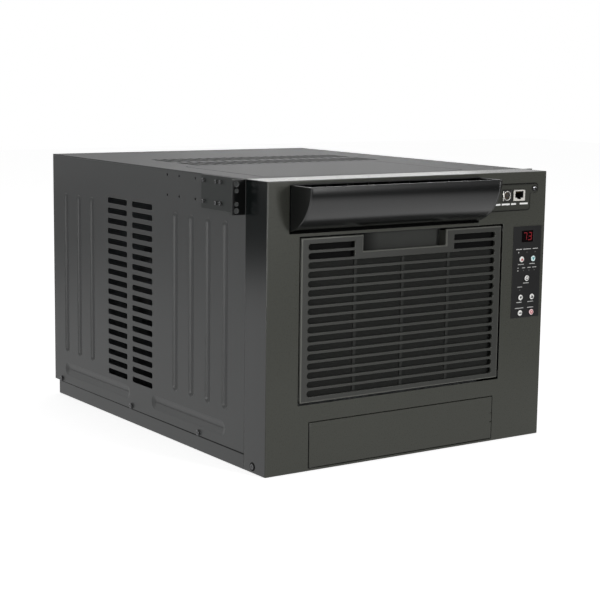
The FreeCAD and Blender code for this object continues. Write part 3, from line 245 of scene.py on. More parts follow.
def maths(tree, operation, *values):
    # each value is a number or an output
    numbers = {i: v for i, v in enumerate(values) if isinstance(v, float)}
    links = {i: v for i, v in enumerate(values) if i not in numbers}
    return addNode(tree, "ShaderNodeMath", {"operation": operation, **numbers}, links).outputs[0]


def axisOf(tree, vector, axis):
    return addNode(tree, "ShaderNodeSeparateXYZ", None, {0: vector}).outputs[axis]


def noise(tree, place, size, detail=2.0):
    settings = {"Scale": 1 / (size * mm), "Detail": detail}
    return addNode(tree, "ShaderNodeTexNoise", settings, {"Vector": place}).outputs["Fac"]


def wave(tree, place, axis, pitch, distortion=0.0):
    # a wave of scale 1 repeats every pi / 10 m
    settings = {"bands_direction": axis, "Scale": math.pi / 10 / (pitch * mm), "Distortion": distortion}
    return addNode(tree, "ShaderNodeTexWave", settings, {"Vector": place}).outputs["Fac"]


def bumped(tree, height, strength, depth, links=None):
    settings = {"Strength": strength, "Distance": depth * mm}
    return addNode(tree, "ShaderNodeBump", settings, {"Height": height, **(links or {})}).outputs[0]


def uneven(tree, pattern, roughness, spread):
    return mapped(tree, pattern, 0.0, 1.0, roughness - spread, roughness + spread)


# materials: grain, cloud, pitch and thread are pattern sizes in mm

# turns of faces and edges, and bump depths as shares of the pattern's size
skinLook = {"paintedSideTone": (0.6, 0.9), "edgeWearAndLightMix": (0.98, 0.75), "peel": 0.2, "streak": 0.1, "fin": 0.5, "thread": 0.4}


def coatedMaterial(name, colour, shade, edgeWearAndLight, cloud, grain, bump, roughness, spread, edgeWearAndLightMix, edgeRoundWidth, ior, specular,
                   paintedSideTone=None, frontSpecular=0.0, frontRough=0.0, paintedLight=None, paintedShade=None):
    # paint or moulded plastic: cloudy colour, grainy skin, uneven gloss, and edges tinted with wear and a painted
    # highlight
    material, tree, coords = newMaterial(name)
    peel = noise(tree, coords["Object"], grain)
    base = blend(tree, noise(tree, coords["Object"], cloud, detail=3.0), colour, shade)
    gloss = uneven(tree, peel, roughness, spread)
    links = {}
    if paintedSideTone:
        # painted shade and light by facing: faces turned to the sides get their own colour, and come out glossier
        sideways = maths(tree, "ABSOLUTE", axisOf(tree, coords["Normal"], "X"))
        start, end = skinLook["paintedSideTone"]
        base = blend(tree, mapped(tree, sideways, start, end), base, paintedSideTone)
        gloss = maths(tree, "ADD", gloss, mapped(tree, sideways, end, start, 0.0, frontRough))
        links["Specular IOR Level"] = mapped(tree, sideways, start, end, frontSpecular, specular)
    if paintedLight:
        # painted shade: the part darkens towards its left end
        across = axisOf(tree, coords["Generated"], "X")
        base = blend(tree, mapped(tree, across, *paintedLight), paintedShade, base)
    # rounded edges take the edge colour: wear with a painted highlight, and painted shade where that colour is dark
    soft = addNode(tree, "ShaderNodeBevel", {"samples": 4, "Radius": edgeRoundWidth * mm}).outputs[0]
    flat = addNode(tree, "ShaderNodeNewGeometry").outputs["Normal"]
    bend = addNode(tree, "ShaderNodeVectorMath", {"operation": "DOT_PRODUCT"}, {0: soft, 1: flat}).outputs["Value"]
    edge = mapped(tree, bend, *skinLook["edgeWearAndLightMix"], 0.0, edgeWearAndLightMix)
    links.update({"Base Color": blend(tree, edge, base, edgeWearAndLight), "Roughness": gloss,
                  "Normal": bumped(tree, peel, bump, grain * skinLook["peel"], {"Normal": soft})})
    return closeMaterial(material, {"IOR": ior, "Specular IOR Level": specular}, links)


def metalMaterial(name, colour, shade, grain, bump, roughness, spread, stretch=(1, 1, 1)):
    # bare metal: streaks along one axis and patchy gloss
    material, tree, coords = newMaterial(name)
    drawn = addNode(tree, "ShaderNodeMapping", {"Scale": stretch}, {"Vector": coords["Object"]})
    streaks = noise(tree, drawn.outputs[0], grain, detail=3.0)
    return closeMaterial(material, {"Metallic": 1.0}, {
        "Base Color": blend(tree, streaks, colour, shade), "Roughness": uneven(tree, streaks, roughness, spread),
        "Normal": bumped(tree, streaks, bump, grain * skinLook["streak"])})


def finMaterial(name, colour, gapShade, pitch, distortion, bump, roughness, metallic=0.8):
    # stacked aluminium fins: lines at the fin pitch across x, with painted shade in the gaps
    material, tree, coords = newMaterial(name)
    fins = wave(tree, coords["Object"], "X", pitch, distortion)
    return closeMaterial(material, {"Metallic": metallic, "Roughness": roughness}, {
        "Base Color": blend(tree, fins, gapShade, colour), "Normal": bumped(tree, fins, bump, pitch * skinLook["fin"])})


def netMaterial(name, colour, hole, thread, shadedFrom, bump, roughness, specular):
    # woven filter net: crossing threads, with painted shade in the open holes
    material, tree, coords = newMaterial(name)
    weave = maths(tree, "MAXIMUM", *[wave(tree, coords["Object"], axis, thread) for axis in "XZ"])
    # painted shade: the strip beside the finger pull shows nearly black
    unshaded = maths(tree, "LESS_THAN", axisOf(tree, coords["Generated"], "Z"), shadedFrom)
    tint = blend(tree, maths(tree, "MULTIPLY", weave, unshaded), hole, colour)
    return closeMaterial(material, {"Roughness": roughness, "Specular IOR Level": specular}, {
        "Base Color": tint, "Normal": bumped(tree, weave, bump, thread * skinLook["thread"])})


def inkMaterial(name, colour, shade, cloud=3, glow=0.0, roughness=0.3):
    # printed ink or lit plastic: a little uneven, glowing where lit
    material, tree, coords = newMaterial(name)
    tint = blend(tree, noise(tree, coords["Object"], cloud), colour, shade)
    return closeMaterial(material, {"Roughness": roughness, "Emission Strength": glow}, {
        "Base Color": tint, "Emission Color": tint})


# name, colour, shade, edge colour, cloud, grain, bump, roughness, spread, edge share, edge width, ior, specular; edge
# colours are wear and painted highlight, and painted shade on the socket plate
keycap = (6, 0.6, 0.05, 0.4, 0.05, 0.4, 0.4, 1.53, 0.5)
coats = {
    # textured powder coat on steel: orange peel, drawn coarser than its 0.4 mm to show
    "casing_paint": (
        "powderCoatedSteelGrey", "#393a3a", "#343535", "#585857", 90, 1.6, 0.1, 0.38, 0.05, 0.5, 0.8, 1.5, 0.4),
    # the same coat on the top, dulled by handling
    "top_paint": (
        "powderCoatedTopGrey", "#393a3a", "#343535", "#585857", 70, 1.6, 0.1, 0.5, 0.05, 0.5, 0.8, 1.5, 0.2),
    # smoother powder coat on the front panel, a touch olive
    "bezel_paint": (
        "powderCoatedSteelOlive", "#40413c", "#3d3e39", "#6c6d66", 120, 1.4, 0.04, 0.18, 0.03, 0.5, 0.8, 1.5, 0.68),
    # the same coat on the socket plate, with painted shade as a dark line along its edge
    "plate_paint": (
        "powderCoatedPlateOlive", "#3a3b36", "#373833", "#0e0e0b", 60, 1.4, 0.04, 0.3, 0.03, 1.0, 3.2, 1.5, 0.2),
    # moulded ABS with a fine spark texture
    "door_plastic": (
        "mouldedAbsOlive", "#282925", "#252622", "#84857f", 80, 1.2, 0.06, 0.45, 0.06, 0.6, 0.8, 1.53, 0.4),
    # the same moulding along its outer edge, paler as a painted highlight
    "door_edge": (
        "mouldedAbsPaintedHighlight", "#5c5d58", "#52534e", "#84857f", 40, 1.2, 0.06, 0.4, 0.06, 0.6, 0.8, 1.53, 0.4),
    # moulded ABS, satin black
    "hood_plastic": (
        "mouldedAbsBlack", "#121313", "#0e0f0f", "#6c6d6d", 60, 1.2, 0.01, 0.22, 0.02, 0.8, 0.9, 1.53, 0.7),
    # printed polyester film, fine matt skin
    "overlay_film": (
        "printedPolyesterFilm", "#121213", "#0f0f10", "#3c3c3d", 30, 0.8, 0.06, 0.38, 0.05, 0.3, 0.4, 1.57, 0.34),
    # tinted acrylic window
    "display_window": (
        "tintedAcrylic", "#0b0506", "#080304", "#1c1010", 12, 2.0, 0.02, 0.15, 0.03, 0.2, 0.3, 1.49, 0.5),
    # moulded ABS keycaps, rubbed a little at the rims
    "button_white": ("mouldedAbsWhite", "#dededb", "#d6d6d3", "#ececea", *keycap),
    "button_red": ("mouldedAbsPink", "#dfc3c6", "#d6b8bb", "#eeddde", *keycap),
    "button_blue": ("mouldedAbsPaleBlue", "#cbdcdd", "#c0d3d4", "#e0eaea", *keycap),
    # moulded nylon, matt black
    "socket_black": (
        "mouldedNylonBlack", "#161617", "#121213", "#333334", 10, 0.8, 0.1, 0.5, 0.06, 0.4, 0.3, 1.53, 0.5),
    # the same nylon on the door's ribs, spark eroded and matt, and in the finger pull, paler, with painted shade at
    # its left end
    "rib_black": (
        "mouldedNylonMatt", "#2e2f2d", "#2a2b29", "#3a3a39", 20, 0.8, 0.1, 0.6, 0.06, 0.4, 0.3, 1.53, 0.12),
    "pull_black": (
        "mouldedNylonPaintedShade", "#383937", "#343533", "#3a3a39", 20, 0.8, 0.1, 0.6, 0.06, 0.4, 0.3, 1.53, 0.08),
    # glass fibre board under green solder resist
    "circuit_board": (
        "solderResistGreen", "#1f5a30", "#1a4d29", "#8a7a45", 8, 0.7, 0.1, 0.35, 0.05, 0.5, 0.4, 1.5, 0.5),
    # moulded polypropylene, matt
    "duct_plastic": (
        "mouldedPolypropyleneBlack", "#242424", "#1e1e1e", "#3a3a3a", 50, 1.5, 0.12, 0.55, 0.06, 0.3, 0.6, 1.49, 0.4),
    # stoved enamel on pressed steel
    "black_enamel": (
        "stovedEnamelBlack", "#141515", "#101111", "#3a3a3a", 70, 2.5, 0.05, 0.25, 0.05, 0.4, 0.8, 1.5, 0.5),
    # the same enamel on the ears, with painted shade and light by facing: legs dull grey, flanges near black, and
    # pale painted highlights on the edges
    "ear_enamel": (
        "sprayedEnamelBlack", "#0b0c0c", "#090a0a", "#8a8c8b", 40, 1.6, 0.05, 0.4, 0.05, 0.5, 0.6, 1.5, 0.35),
    # moulded rubber, dusty
    "grommet_rubber": (
        "mouldedRubberBlack", "#0a0a0a", "#0d0d0c", "#1a1918", 8, 0.8, 0.2, 0.75, 0.08, 0.3, 0.5, 1.52, 0.15),
}
# side colours are painted shade and light by facing: the front panel's folded sides near black, the ears' legs dull
# grey
coatExtras = {
    "bezel_paint": {"paintedSideTone": "#0a0e0e", "frontSpecular": 0.2, "frontRough": 0.1},
    "ear_enamel": {"paintedSideTone": "#202322", "frontSpecular": 0.35},
    "pull_black": {"paintedLight": (0.07, 0.27), "paintedShade": "#020202"},
}
# name, colour, shade, grain, bump, roughness, spread, stretch
metals = {
    # black zinc plate over steel, bright where it catches the light
    "screw_zinc": ("blackZincPlatedSteel", "#6e6e70", "#5c5c5e", 0.6, 0.1, 0.22, 0.06),
    # nickel plate, bright
    "socket_shell": ("nickelPlatedSteel", "#e2e0da", "#cfcdc7", 0.8, 0.05, 0.5, 0.05, (1, 1, 6)),
    # hot dip galvanised sheet, spangled
    "galvanised": ("galvanisedSteel", "#a9acae", "#8b8f92", 9, 0.08, 0.4, 0.1),
    # drawn copper tube, dull
    "copper": ("drawnCopper", "#b8704a", "#97583a", 3, 0.05, 0.32, 0.08),
    # turned and pressed steel
    "motor_steel": ("turnedSteel", "#9b9c9e", "#828386", 1.5, 0.08, 0.35, 0.08, (1, 8, 1)),
    # gold flash on the contacts
    "gold": ("goldFlashedBronze", "#c9a55a", "#b8934c", 0.5, 0.02, 0.25, 0.04),
}
# screen prints and diodes: name, colour, shade, cloud, glow
inks = {
    "printWhite": ("screenPrintWhite", "#ececea", "#dededc"),
    "printSilver": ("screenPrintSilver", "#b4b4b3", "#a4a4a3"),
    "printRed": ("screenPrintRed", "#b01c24", "#9c1820"),
    "printTeal": ("screenPrintTeal", "#2c8f96", "#267f86"),
    "printGrey": ("screenPrintGrey", "#2a2a2c", "#222224"),
    "ledRed": ("diodeRed", "#981a25", "#881620", 2, 0.1),
    "ledDark": ("diodeUnlit", "#5a5a58", "#4a4a48", 2),
    "ledWhite": ("diodeWhite", "#b4b4b2", "#a4a4a2", 2, 0.2),
}
finish = {slot: coatedMaterial(*row, **coatExtras.get(slot, {})) for slot, row in coats.items()}
finish.update({slot: metalMaterial(*row) for slot, row in metals.items()})
finish.update({slot: inkMaterial(*row) for slot, row in inks.items()})
# mill finish fins at a 1.8 mm pitch, fine vertical lines with painted shade between them
finish["fin_aluminium"] = finMaterial(
    "millFinishAluminium", "#b9bcbe", gapShade="#3c3d3e", pitch=1.8, distortion=0.3, bump=0.6, roughness=0.4)
# nylon net with 1 mm openings, drawn at 1.5 mm to show
finish["filter_cloth"] = netMaterial(
    "wovenNylonNet", "#272826", hole="#060606", thread=1.5, shadedFrom=0.872, bump=0.5, roughness=0.8, specular=0.15)
print("materials made:", len(bpy.data.materials))

for entry in frame["record"]["subparts"]:
    mesh = nodes[entry["node"]].data
    mesh.materials.clear()
    mesh.materials.append(finish[entry["material_slot"]])
ownCoats = {"rack_ear_left": "ear_enamel", "rack_ear_right": "ear_enamel", "interface_plate": "plate_paint",
            "service_door": "bezel_paint", "top_panel": "top_paint", "top_cover": "top_paint"}
for name, coat in ownCoats.items():
    nodes[name].data.materials[0] = finish[coat]
softEdges = {
    "front_bezel": 0.5, "top_panel": 0.3, "top_cover": 0.3, "rear_panel": 0.3, "base_pan": 0.4,
    "rack_ear_left": 0.3, "rack_ear_right": 0.3, "service_door": 0.5, "interface_plate": 0.35,
    "power_inlet": 0.3,
}
edgeLook = {"weld": 0.01, "segments": 2, "turn": 40}
for name, width in softEdges.items():
    weld = nodes[name].modifiers.new("weld", "WELD")
    weld.merge_threshold = edgeLook["weld"] * mm
    edge = nodes[name].modifiers.new("edge", "BEVEL")
    edge.width = width * mm
    edge.segments = edgeLook["segments"]
    edge.limit_method = "ANGLE"
    edge.angle_limit = math.radians(edgeLook["turn"])
print("finishes set on the CAD nodes")


# side panels: louvre slots with round corners and pressed beads

sideLook = {
    "sheet": 1.5, "slotRound": 2.6, "slotLength": 56.0, "slotHeight": 7.8, "slotRows": 18, "rowPitch": 14.1,
    "firstRow": 61.5, "columns": (-11.25, 59.35), "beadWidth": 13.0, "beadLow": 66.5, "beadHigh": 300.5,
    "uprights": (-195.25, -154.25, -113.25, -72.25, 163.75, 204.75, 245.75), "beadRound": 0.98,
    "lowBeads": ((-196.75, -9.75), (52.25, 252.25)), "lowBeadHeight": 41.0, "lowBeadWidth": 18.0,
    # distance from the rim and depth, steep for the uprights and soft for the low beads
    "beadSteps": ((0.0, 0.25), (0.5, 0.45), (1.2, 1.1), (2.2, 2.1), (2.9, 2.55), (3.6, 2.7)),
    "lowBeadSteps": ((0.0, 0.25), (1.0, 0.4), (2.5, 0.85), (4.5, 1.6), (6.5, 2.15), (8.2, 2.3)),
    "spareHole": 1.8, "spareDepths": (-51.75, -82.25, -122.65), "spareHeights": (347.4, 321.4), "edge": 0.25,
    # the lap behind the front panel, and the rear flange measured from the back edge
    "front": -240.75, "lap": (-253.25, -229.25), "flangeReach": 12.0, "flangeIn": (17.0, 15.5),
    "flangeHeights": (34.6, 330.8),
}


def sidePanel(name, side, look):
    low, high = (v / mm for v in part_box(name))
    face = side * max(abs(low.x), abs(high.x))
    inward, front, sheet, tall = -side, look["front"], look["sheet"], look["slotHeight"] / 2
    outline = [(front, low.z), (high.y, low.z), (high.y, high.z), (front, high.z)]
    holes = []
    for y in look["columns"]:
        for row in range(look["slotRows"]):
            z = look["firstRow"] + look["rowPitch"] * row
            holes.append(roundedOutline(y, y + look["slotLength"], z - tall, z + tall, look["slotRound"], steps=4))
    holes += [circleOutline(y, z, look["spareHole"], steps=16)
              for y in look["spareDepths"] for z in look["spareHeights"]]
    half, lowHalf, lowZ = look["beadWidth"] / 2, look["lowBeadWidth"] / 2, look["lowBeadHeight"]
    beads = [(roundedOutline(y - half, y + half, look["beadLow"], look["beadHigh"], half * look["beadRound"],
                             steps=8), look["beadSteps"]) for y in look["uprights"]]
    beads += [(roundedOutline(y0, y1, lowZ - lowHalf, lowZ + lowHalf, lowHalf * look["beadRound"], steps=8),
               look["lowBeadSteps"]) for y0, y1 in look["lowBeads"]]
    axes = Matrix.Translation((face * mm, 0, 0)) @ Matrix.Diagonal((inward, 1, 1, 1)) @ sideAxes
    panel = plateMesh(outline, holes + [points for points, steps in beads], 0.0, sheet, look["edge"], axes)
    bm = bmesh.new()
    for points, steps in beads:
        rings = [[bm.verts.new(Vector((face + inward * depth, y, z)) * mm)
                  for y, z in grownOutline(points, -shrink)] for shrink, depth in steps]
        for one, two in zip(rings, rings[1:]):
            bridge(bm, one, two)
        bm.faces.new(rings[-1])
    pressed = meshFrom(bm, name + "Beads")
    if sum(p.normal.x * side * p.area for p in pressed.polygons) < 0:
        pressed.flip_normals()
    pressed.shade_smooth()
    bm = bmesh.new()
    inner, (z0, z1) = face + inward * sheet, look["flangeHeights"]
    for reach, y0, y1 in ((sheet, *look["lap"]), (look["flangeReach"], *[high.y - v for v in look["flangeIn"]])):
        x0, x1 = sorted((inner, inner + inward * reach))
        boxInto(bm, (x0, y0, z0), (x1, y1, z1))
    skin = joinMeshes([panel, meshFrom(bm, name + "Flanges")], name + "Skin")
    addPiece(name + "_skin", skin, "case", "casing_paint", stands=[name])
    addPiece(name + "_beads", pressed, "case", "casing_paint")


sidePanel("side_panel_left", -1, sideLook)
sidePanel("side_panel_right", 1, sideLook)
print("side panels made")


# air hood: curved skin between flat cheeks, and a pivot barrel

hoodLook = {
    "left": -188.0, "right": 104.0, "top": 350.0, "arcCentre": -274.25, "arcRadius": 57.3, "wall": 2.5,
    "axis": (-283.25, 297.465), "barrel": 4.0, "pin": 2.2, "pinReach": 4.7, "chamfer": 0.3,
    "cheekRadius": 49.5, "cheekSweep": 27.0, "cheekBack": -288.95, "cheekSteps": 12, "steps": 40,
    "edge": 0.8, "lip": 0.6, "lean": 1.75, "leanSpan": 0.34, "smooth": 28,
}


def airHood(look):
    left, right, top, wall, edge = (look[k] for k in ("left", "right", "top", "wall", "edge"))
    axisY, axisZ = look["axis"]
    last = math.atan2(top - axisZ, look["arcCentre"] - axisY)

    def onArc(radius, turn):
        return look["arcCentre"] - radius * math.cos(turn), top - radius * math.sin(turn)

    def onSector(turn):
        return axisY + look["cheekRadius"] * math.sin(turn), axisZ + look["cheekRadius"] * math.cos(turn)

    # the end cheeks stand a little proud of the skin between them
    inner, outer = look["arcRadius"] - wall, look["arcRadius"] - look["lip"]
    turns = [last * i / look["steps"] for i in range(look["steps"] + 1)]
    # the top of the skin leans back a little
    lean = [look["lean"] * max(0.0, 1 - turn / look["leanSpan"]) ** 2 for turn in turns]
    skin = [onArc(outer - back, turn) for turn, back in zip(turns, lean)]
    skin += [onArc(inner - back, turn) for turn, back in zip(turns[::-1], lean[::-1])]
    bury = wall - edge
    parts = [plateMesh(skin, [], left + bury, right - bury, edge, sideAxes, rounds=3)]
    first = -math.asin((axisY - look["cheekBack"]) / look["cheekRadius"])
    sweep, steps = math.radians(look["cheekSweep"]), look["cheekSteps"]
    cheek = [onArc(look["arcRadius"], turn) for turn in turns] + [(axisY, axisZ)]
    cheek += [onSector(sweep + (first - sweep) * i / steps) for i in range(steps + 1)]
    cheek.append((look["cheekBack"], top))
    parts += [plateMesh(cheek, [], x, x + wall, edge, sideAxes, rounds=3) for x in (left, right - wall)]
    bm = bmesh.new()
    soft = look["chamfer"]
    for r, reach in ((look["barrel"], 0.0), (look["pin"], look["pinReach"])):
        long = right - left + 2 * reach
        turnedInto(bm, [(0, 0), (r - soft, 0), (r, soft), (r, long - soft), (r - soft, long), (0, long)],
                   aim((1, 0, 0), (left - reach, axisY, axisZ)))
    parts.append(meshFrom(bm, "hoodBarrel"))
    mesh = smoothed(joinMeshes(parts, "airHoodSkin"), look["smooth"])
    piece = addPiece("air_hood_moulding", mesh, "hood", "hood_plastic", stands=["air_hood"])
    piece.modifiers.new("normals", "WEIGHTED_NORMAL").keep_sharp = True


airHood(hoodLook)
print("hood made")


# intake door: plate with round-ended slots, rim, ribs and finger pull

doorLook = {
    "left": -171.2, "right": 143.8, "bottom": 85.0, "top": 285.8, "face": -288.25, "plate": 3.0,
    "rimDepth": 14.0, "rimWall": 2.4, "slotRows": 17, "slotHeight": 7.5, "sideMargin": 10.4,
    "endMargin": 10.9, "splitRows": 2, "slotRound": 0.97, "pullWidth": 130.8, "pullHeight": 20.0,
    "pullDepth": 12.0, "pullUndercut": 6.0, "pullWall": 2.0, "pullLand": 13.0, "ribs": 3, "ribWidth": 4.4,
    "ribFront": 1.9, "ribDepth": 3.5, "ribEdge": 0.4, "axis": (-282.25, 91.0), "pin": 2.5, "pinReach": 6.4,
    # walls go into the plate by bury, and the pull's walls by half of it
    "bury": 1.0, "edge": 0.5, "outerEdge": 3.0, "wallEdge": 0.3, "leftGap": 0.7, "smooth": 50,
}


def intakeDoor(look):
    left, right, bottom, top, face = (look[k] for k in ("left", "right", "bottom", "top", "face"))
    back, middle, edgeLeft = face + look["plate"], (left + right) / 2, left + look["leftGap"]
    pullLeft, pullRight = middle - look["pullWidth"] / 2, middle + look["pullWidth"] / 2
    pullLow = top - look["pullHeight"]
    outline = [(edgeLeft, bottom), (right, bottom), (right, top), (pullRight, top), (pullRight, pullLow),
               (pullLeft, pullLow), (pullLeft, top), (edgeLeft, top)]
    pitch = (top - bottom - 2 * look["endMargin"]) / (look["slotRows"] - 1)
    slotLeft, slotRight = left + look["sideMargin"], right - look["sideMargin"]
    half, land = look["slotHeight"] / 2, look["pullLand"]
    slots = []
    for row in range(look["slotRows"]):
        z = top - look["endMargin"] - pitch * row
        spans = [(slotLeft, slotRight, "")]
        if row < look["splitRows"]:
            spans = [(slotLeft, pullLeft - land, "right"), (pullRight + land, slotRight, "left")]
        slots += [roundedOutline(u0, u1, z - half, z + half, half * look["slotRound"], steps=5, square=end)
                  for u0, u1, end in spans]
    plate = plateMesh(outline, slots, face, back, look["edge"], frontAxes)
    # the outer edge has a wider round than the slots, and a painted highlight
    grow, near, paintedLight = look["outerEdge"], look["edge"] * 1.01, set()
    for vert in plate.vertices:
        x, y, z = vert.co / mm
        for u, v in outline:
            if max(abs(x - u), abs(z - v)) < near and y < face + near:
                vert.co = Vector((u + (x - u) * grow, face + (y - face) * grow, v + (z - v) * grow)) * mm
                paintedLight.add(vert.index)
                break
    for polygon in plate.polygons:
        if len(polygon.vertices) == 4 and paintedLight.issuperset(polygon.vertices):
            polygon.material_index = 1
    ribs, cup, bm = bmesh.new(), bmesh.new(), bmesh.new()
    wall, rim, soft = look["rimWall"], face + look["rimDepth"], look["wallEdge"]
    buried = back - look["bury"]
    for low, high in (((left, buried, bottom), (left + wall, rim, top)),
                      ((right - wall, buried, bottom), (right, rim, top)),
                      ((left, buried, bottom), (right, rim, bottom + wall)),
                      ((left, back, top - wall), (pullLeft, rim, top)),
                      ((pullRight, back, top - wall), (right, rim, top))):
        boxInto(bm, low, high, soft)
    for i in range(look["ribs"]):
        x = slotLeft + (slotRight - slotLeft) * (i + 1) / (look["ribs"] + 1)
        boxInto(ribs, (x - look["ribWidth"] / 2, back + look["ribFront"], bottom + wall / 2),
                (x + look["ribWidth"] / 2, back + look["ribDepth"], pullLow), look["ribEdge"])
    addPiece("intake_door_ribs", meshFrom(ribs, "intakeDoorRibs"), "intake_door", "socket_black", ["rib_black"])
    skin, cupBack, cupFront = look["pullWall"], back + look["pullDepth"], back - look["bury"] / 2
    cupLow = pullLow - look["pullUndercut"]
    boxInto(cup, (pullLeft - skin, cupBack, cupLow - skin), (pullRight + skin, cupBack + skin, top), soft)
    boxInto(cup, (pullLeft - skin, cupFront, cupLow - skin), (pullRight + skin, cupBack, cupLow), soft)
    addPiece("intake_door_cup", meshFrom(cup, "intakeDoorCup"), "intake_door", "socket_black", ["pull_black"])
    for x in (pullLeft - skin, pullRight):
        boxInto(bm, (x, cupFront, cupLow - skin), (x + skin, cupBack, top), soft)
    r, long = look["pin"], look["pinReach"] + look["bury"]
    for x in (left - look["pinReach"], right - look["bury"]):
        turnedInto(bm, [(0, 0), (r - soft, 0), (r, soft), (r, long), (0, long)],
                   aim((1, 0, 0), (x, *look["axis"])), steps=24)
    mesh = joinMeshes([plate, meshFrom(bm, "intakeDoorBack")], "intakeDoorMoulding")
    piece = addPiece("intake_door_moulding", smoothed(mesh, look["smooth"]), "intake_door",
                     "door_plastic", ["door_plastic", "door_edge"], ["intake_door"])
    piece.modifiers.new("normals", "WEIGHTED_NORMAL").keep_sharp = True


intakeDoor(doorLook)
print("intake door made")


# screws: low heads with a cross recess and bright faces, with painted shade: black rims, recess walls and flanges

screwLook = {
    "flange": 3.4, "face": 2.9, "height": 2.8, "crossLength": 1.9, "crossWidth": 0.55, "recess": 0.9,
    "edge": 0.3, "crown": 0.7, "smooth": 35, "seamScale": 1.25, "earScale": 0.85, "plateScale": 1.15,
    "seamSeats": ((-132.95, 23.7), (47.35, 23.7), (264.75, 23.7)), "footSeats": ((-260.45, 7.9),),
    "caseHalf": 220.0, "footTall": 0.4, "shadeRing": 5.4, "shadeRingThick": 0.5, "shadeRingEdge": 0.2, "earHalf": 222.5,
    "earDepths": (-147.95, -178.25, -188.45), "earHeights": (347.4, 321.4),
    "plateSeat": (197.5, -289.25, 332.75),
}


def caseScrews(look):
    half = look["caseHalf"]
    earSeats = [(y, z) for y in look["earDepths"] for z in look["earHeights"]]
    seats = [(look["plateSeat"], (0, -1, 0), look["plateScale"], 1.0)]
    rows = ((look["seamSeats"], half, look["seamScale"], 1.0),
            (look["footSeats"], half, look["seamScale"], look["footTall"]),
            (earSeats, look["earHalf"], look["earScale"], 1.0))
    for places, out, scale, tall in rows:
        seats += [((side * out, y, z), (side, 0, 0), scale, tall) for y, z in places for side in (-1, 1)]
    long, thin, flat = look["crossLength"], look["crossWidth"], look["height"]
    arm, cross = [(thin, -long), (thin, -thin), (long, -thin)], []
    for _ in range(4):
        cross += arm
        arm = [(-v, u) for u, v in arm]
    face, flange, edge = look["face"], look["flange"], look["edge"]
    floor = flat - look["recess"]
    foot = [(0, 0), (flange, 0), (flange, edge), (face, edge * 2), (face, floor + edge), (0, floor + edge)]
    heads = []
    for place, direction, scale, tall in seats:
        matrix = aim(direction, place) @ Matrix.Diagonal((scale, scale, tall, 1))
        head = plateMesh(circleOutline(0, 0, face), [cross], floor, flat, edge, Matrix())
        for polygon in head.polygons:
            # painted shade: rims and the walls of the recess are black
            polygon.material_index = 1 if abs(polygon.normal.z) < 0.5 else 0
        for vert in head.vertices:
            if vert.co.z > (floor + edge) * mm:
                vert.co.z -= look["crown"] * mm * (vert.co.xy.length / mm / face) ** 2
        head.transform(matrix)
        bm = bmesh.new()
        turnedInto(bm, foot, matrix)
        heads += [smoothed(head, look["smooth"]), meshFrom(bm, "screwFoot")]
        # painted shade: the flange under each head is black
        for polygon in heads[-1].polygons:
            polygon.material_index = 1
    addPiece("case_screw_heads", joinMeshes(heads, "caseScrewHeads"), "case", "screw_zinc",
             ["screw_zinc", "black_enamel"], ["case_screws"])
    # painted shade: black rings round the flat foot screws
    bm = bmesh.new()
    r, thick, soft = look["shadeRing"], look["shadeRingThick"], look["shadeRingEdge"]
    ring = [(0, 0), (r, 0), (r, thick - soft), (r - soft, thick), (0, thick)]
    for y, z in look["footSeats"]:
        for side in (-1, 1):
            turnedInto(bm, ring, aim((side, 0, 0), (side * half, y, z)))
    addPiece("foot_shade_rings", meshFrom(bm, "footShadeRings"), "case", "grommet_rubber")


caseScrews(screwLook)
print("screws made")


# push buttons: domed caps on square stems, each with a printed mark

buttonLook = {
    "radius": 3.7, "dome": 0.3, "domeSteps": 6, "cap": 1.2, "rim": 0.4, "stem": 2.0, "stemEdge": 0.2,
    "mark": 2.4, "lift": 0.02, "inkEdge": 0.01, "smooth": 35,
}
buttonMarks = {
    "button_warmer": ("up", "printRed"), "button_cooler": ("down", "printTeal"),
    "button_mode": ("ring", "printGrey"), "button_fan": ("down", "printGrey"),
    "button_timer": ("up", "printGrey"), "button_sleep": ("bar", "printGrey"),
    "button_power": ("ring", "printRed"),
}
markShapes = {"up": ((-1, -0.7), (1, -0.7), (0, 0.9)), "down": ((-1, 0.7), (0, -0.9), (1, 0.7)),
              "bar": ((-1, -0.3), (1, -0.3), (1, 0.3), (-1, 0.3))}


def markOutline(kind, size, hole=0.6, steps=24):
    if kind == "ring":
        return circleOutline(0, 0, size, steps), [circleOutline(0, 0, size * hole, steps)]
    return [(u * size, v * size) for u, v in markShapes[kind]], []


def pushButton(name, kind, ink, look):
    low, high = (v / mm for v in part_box(name))
    x, _, z = (low + high) / 2
    r, cap, dome, rim, half = (look[k] for k in ("radius", "cap", "dome", "rim", "stem"))
    matrix = aim((0, -1, 0), (x, low.y + cap, z))
    profile = [(0, 0), (r - rim / 2, 0), (r, rim / 2), (r, cap - dome - rim / 2),
               (r - rim / 3, cap - dome - rim / 8)]
    for k in range(1, look["domeSteps"] + 1):
        out = 1 - k / look["domeSteps"]
        profile.append((r * out, cap - dome * out ** 2))
    bm = bmesh.new()
    turnedInto(bm, profile, matrix, steps=40)
    boxInto(bm, (x - half, low.y + cap / 2, z - half), (x + half, high.y, z + half), look["stemEdge"])
    slotName = "button_red" if name == "button_power" else "button_white"
    skin = "button_blue" if name == "button_cooler" else slotName
    addPiece(name + "_cap", meshFrom(bm, name + "Cap", look["smooth"]), name, slotName, [skin], [name])
    outline, holes = markOutline(kind, look["mark"])
    mark = plateMesh(outline, holes, cap - dome, cap + look["lift"], look["inkEdge"], matrix)
    addPiece(name + "_mark", mark, name, None, [ink])


for buttonName, (kind, ink) in buttonMarks.items():
    pushButton(buttonName, kind, ink, buttonLook)
print("buttons made")


# control pad prints, lamps and the two figures of the display

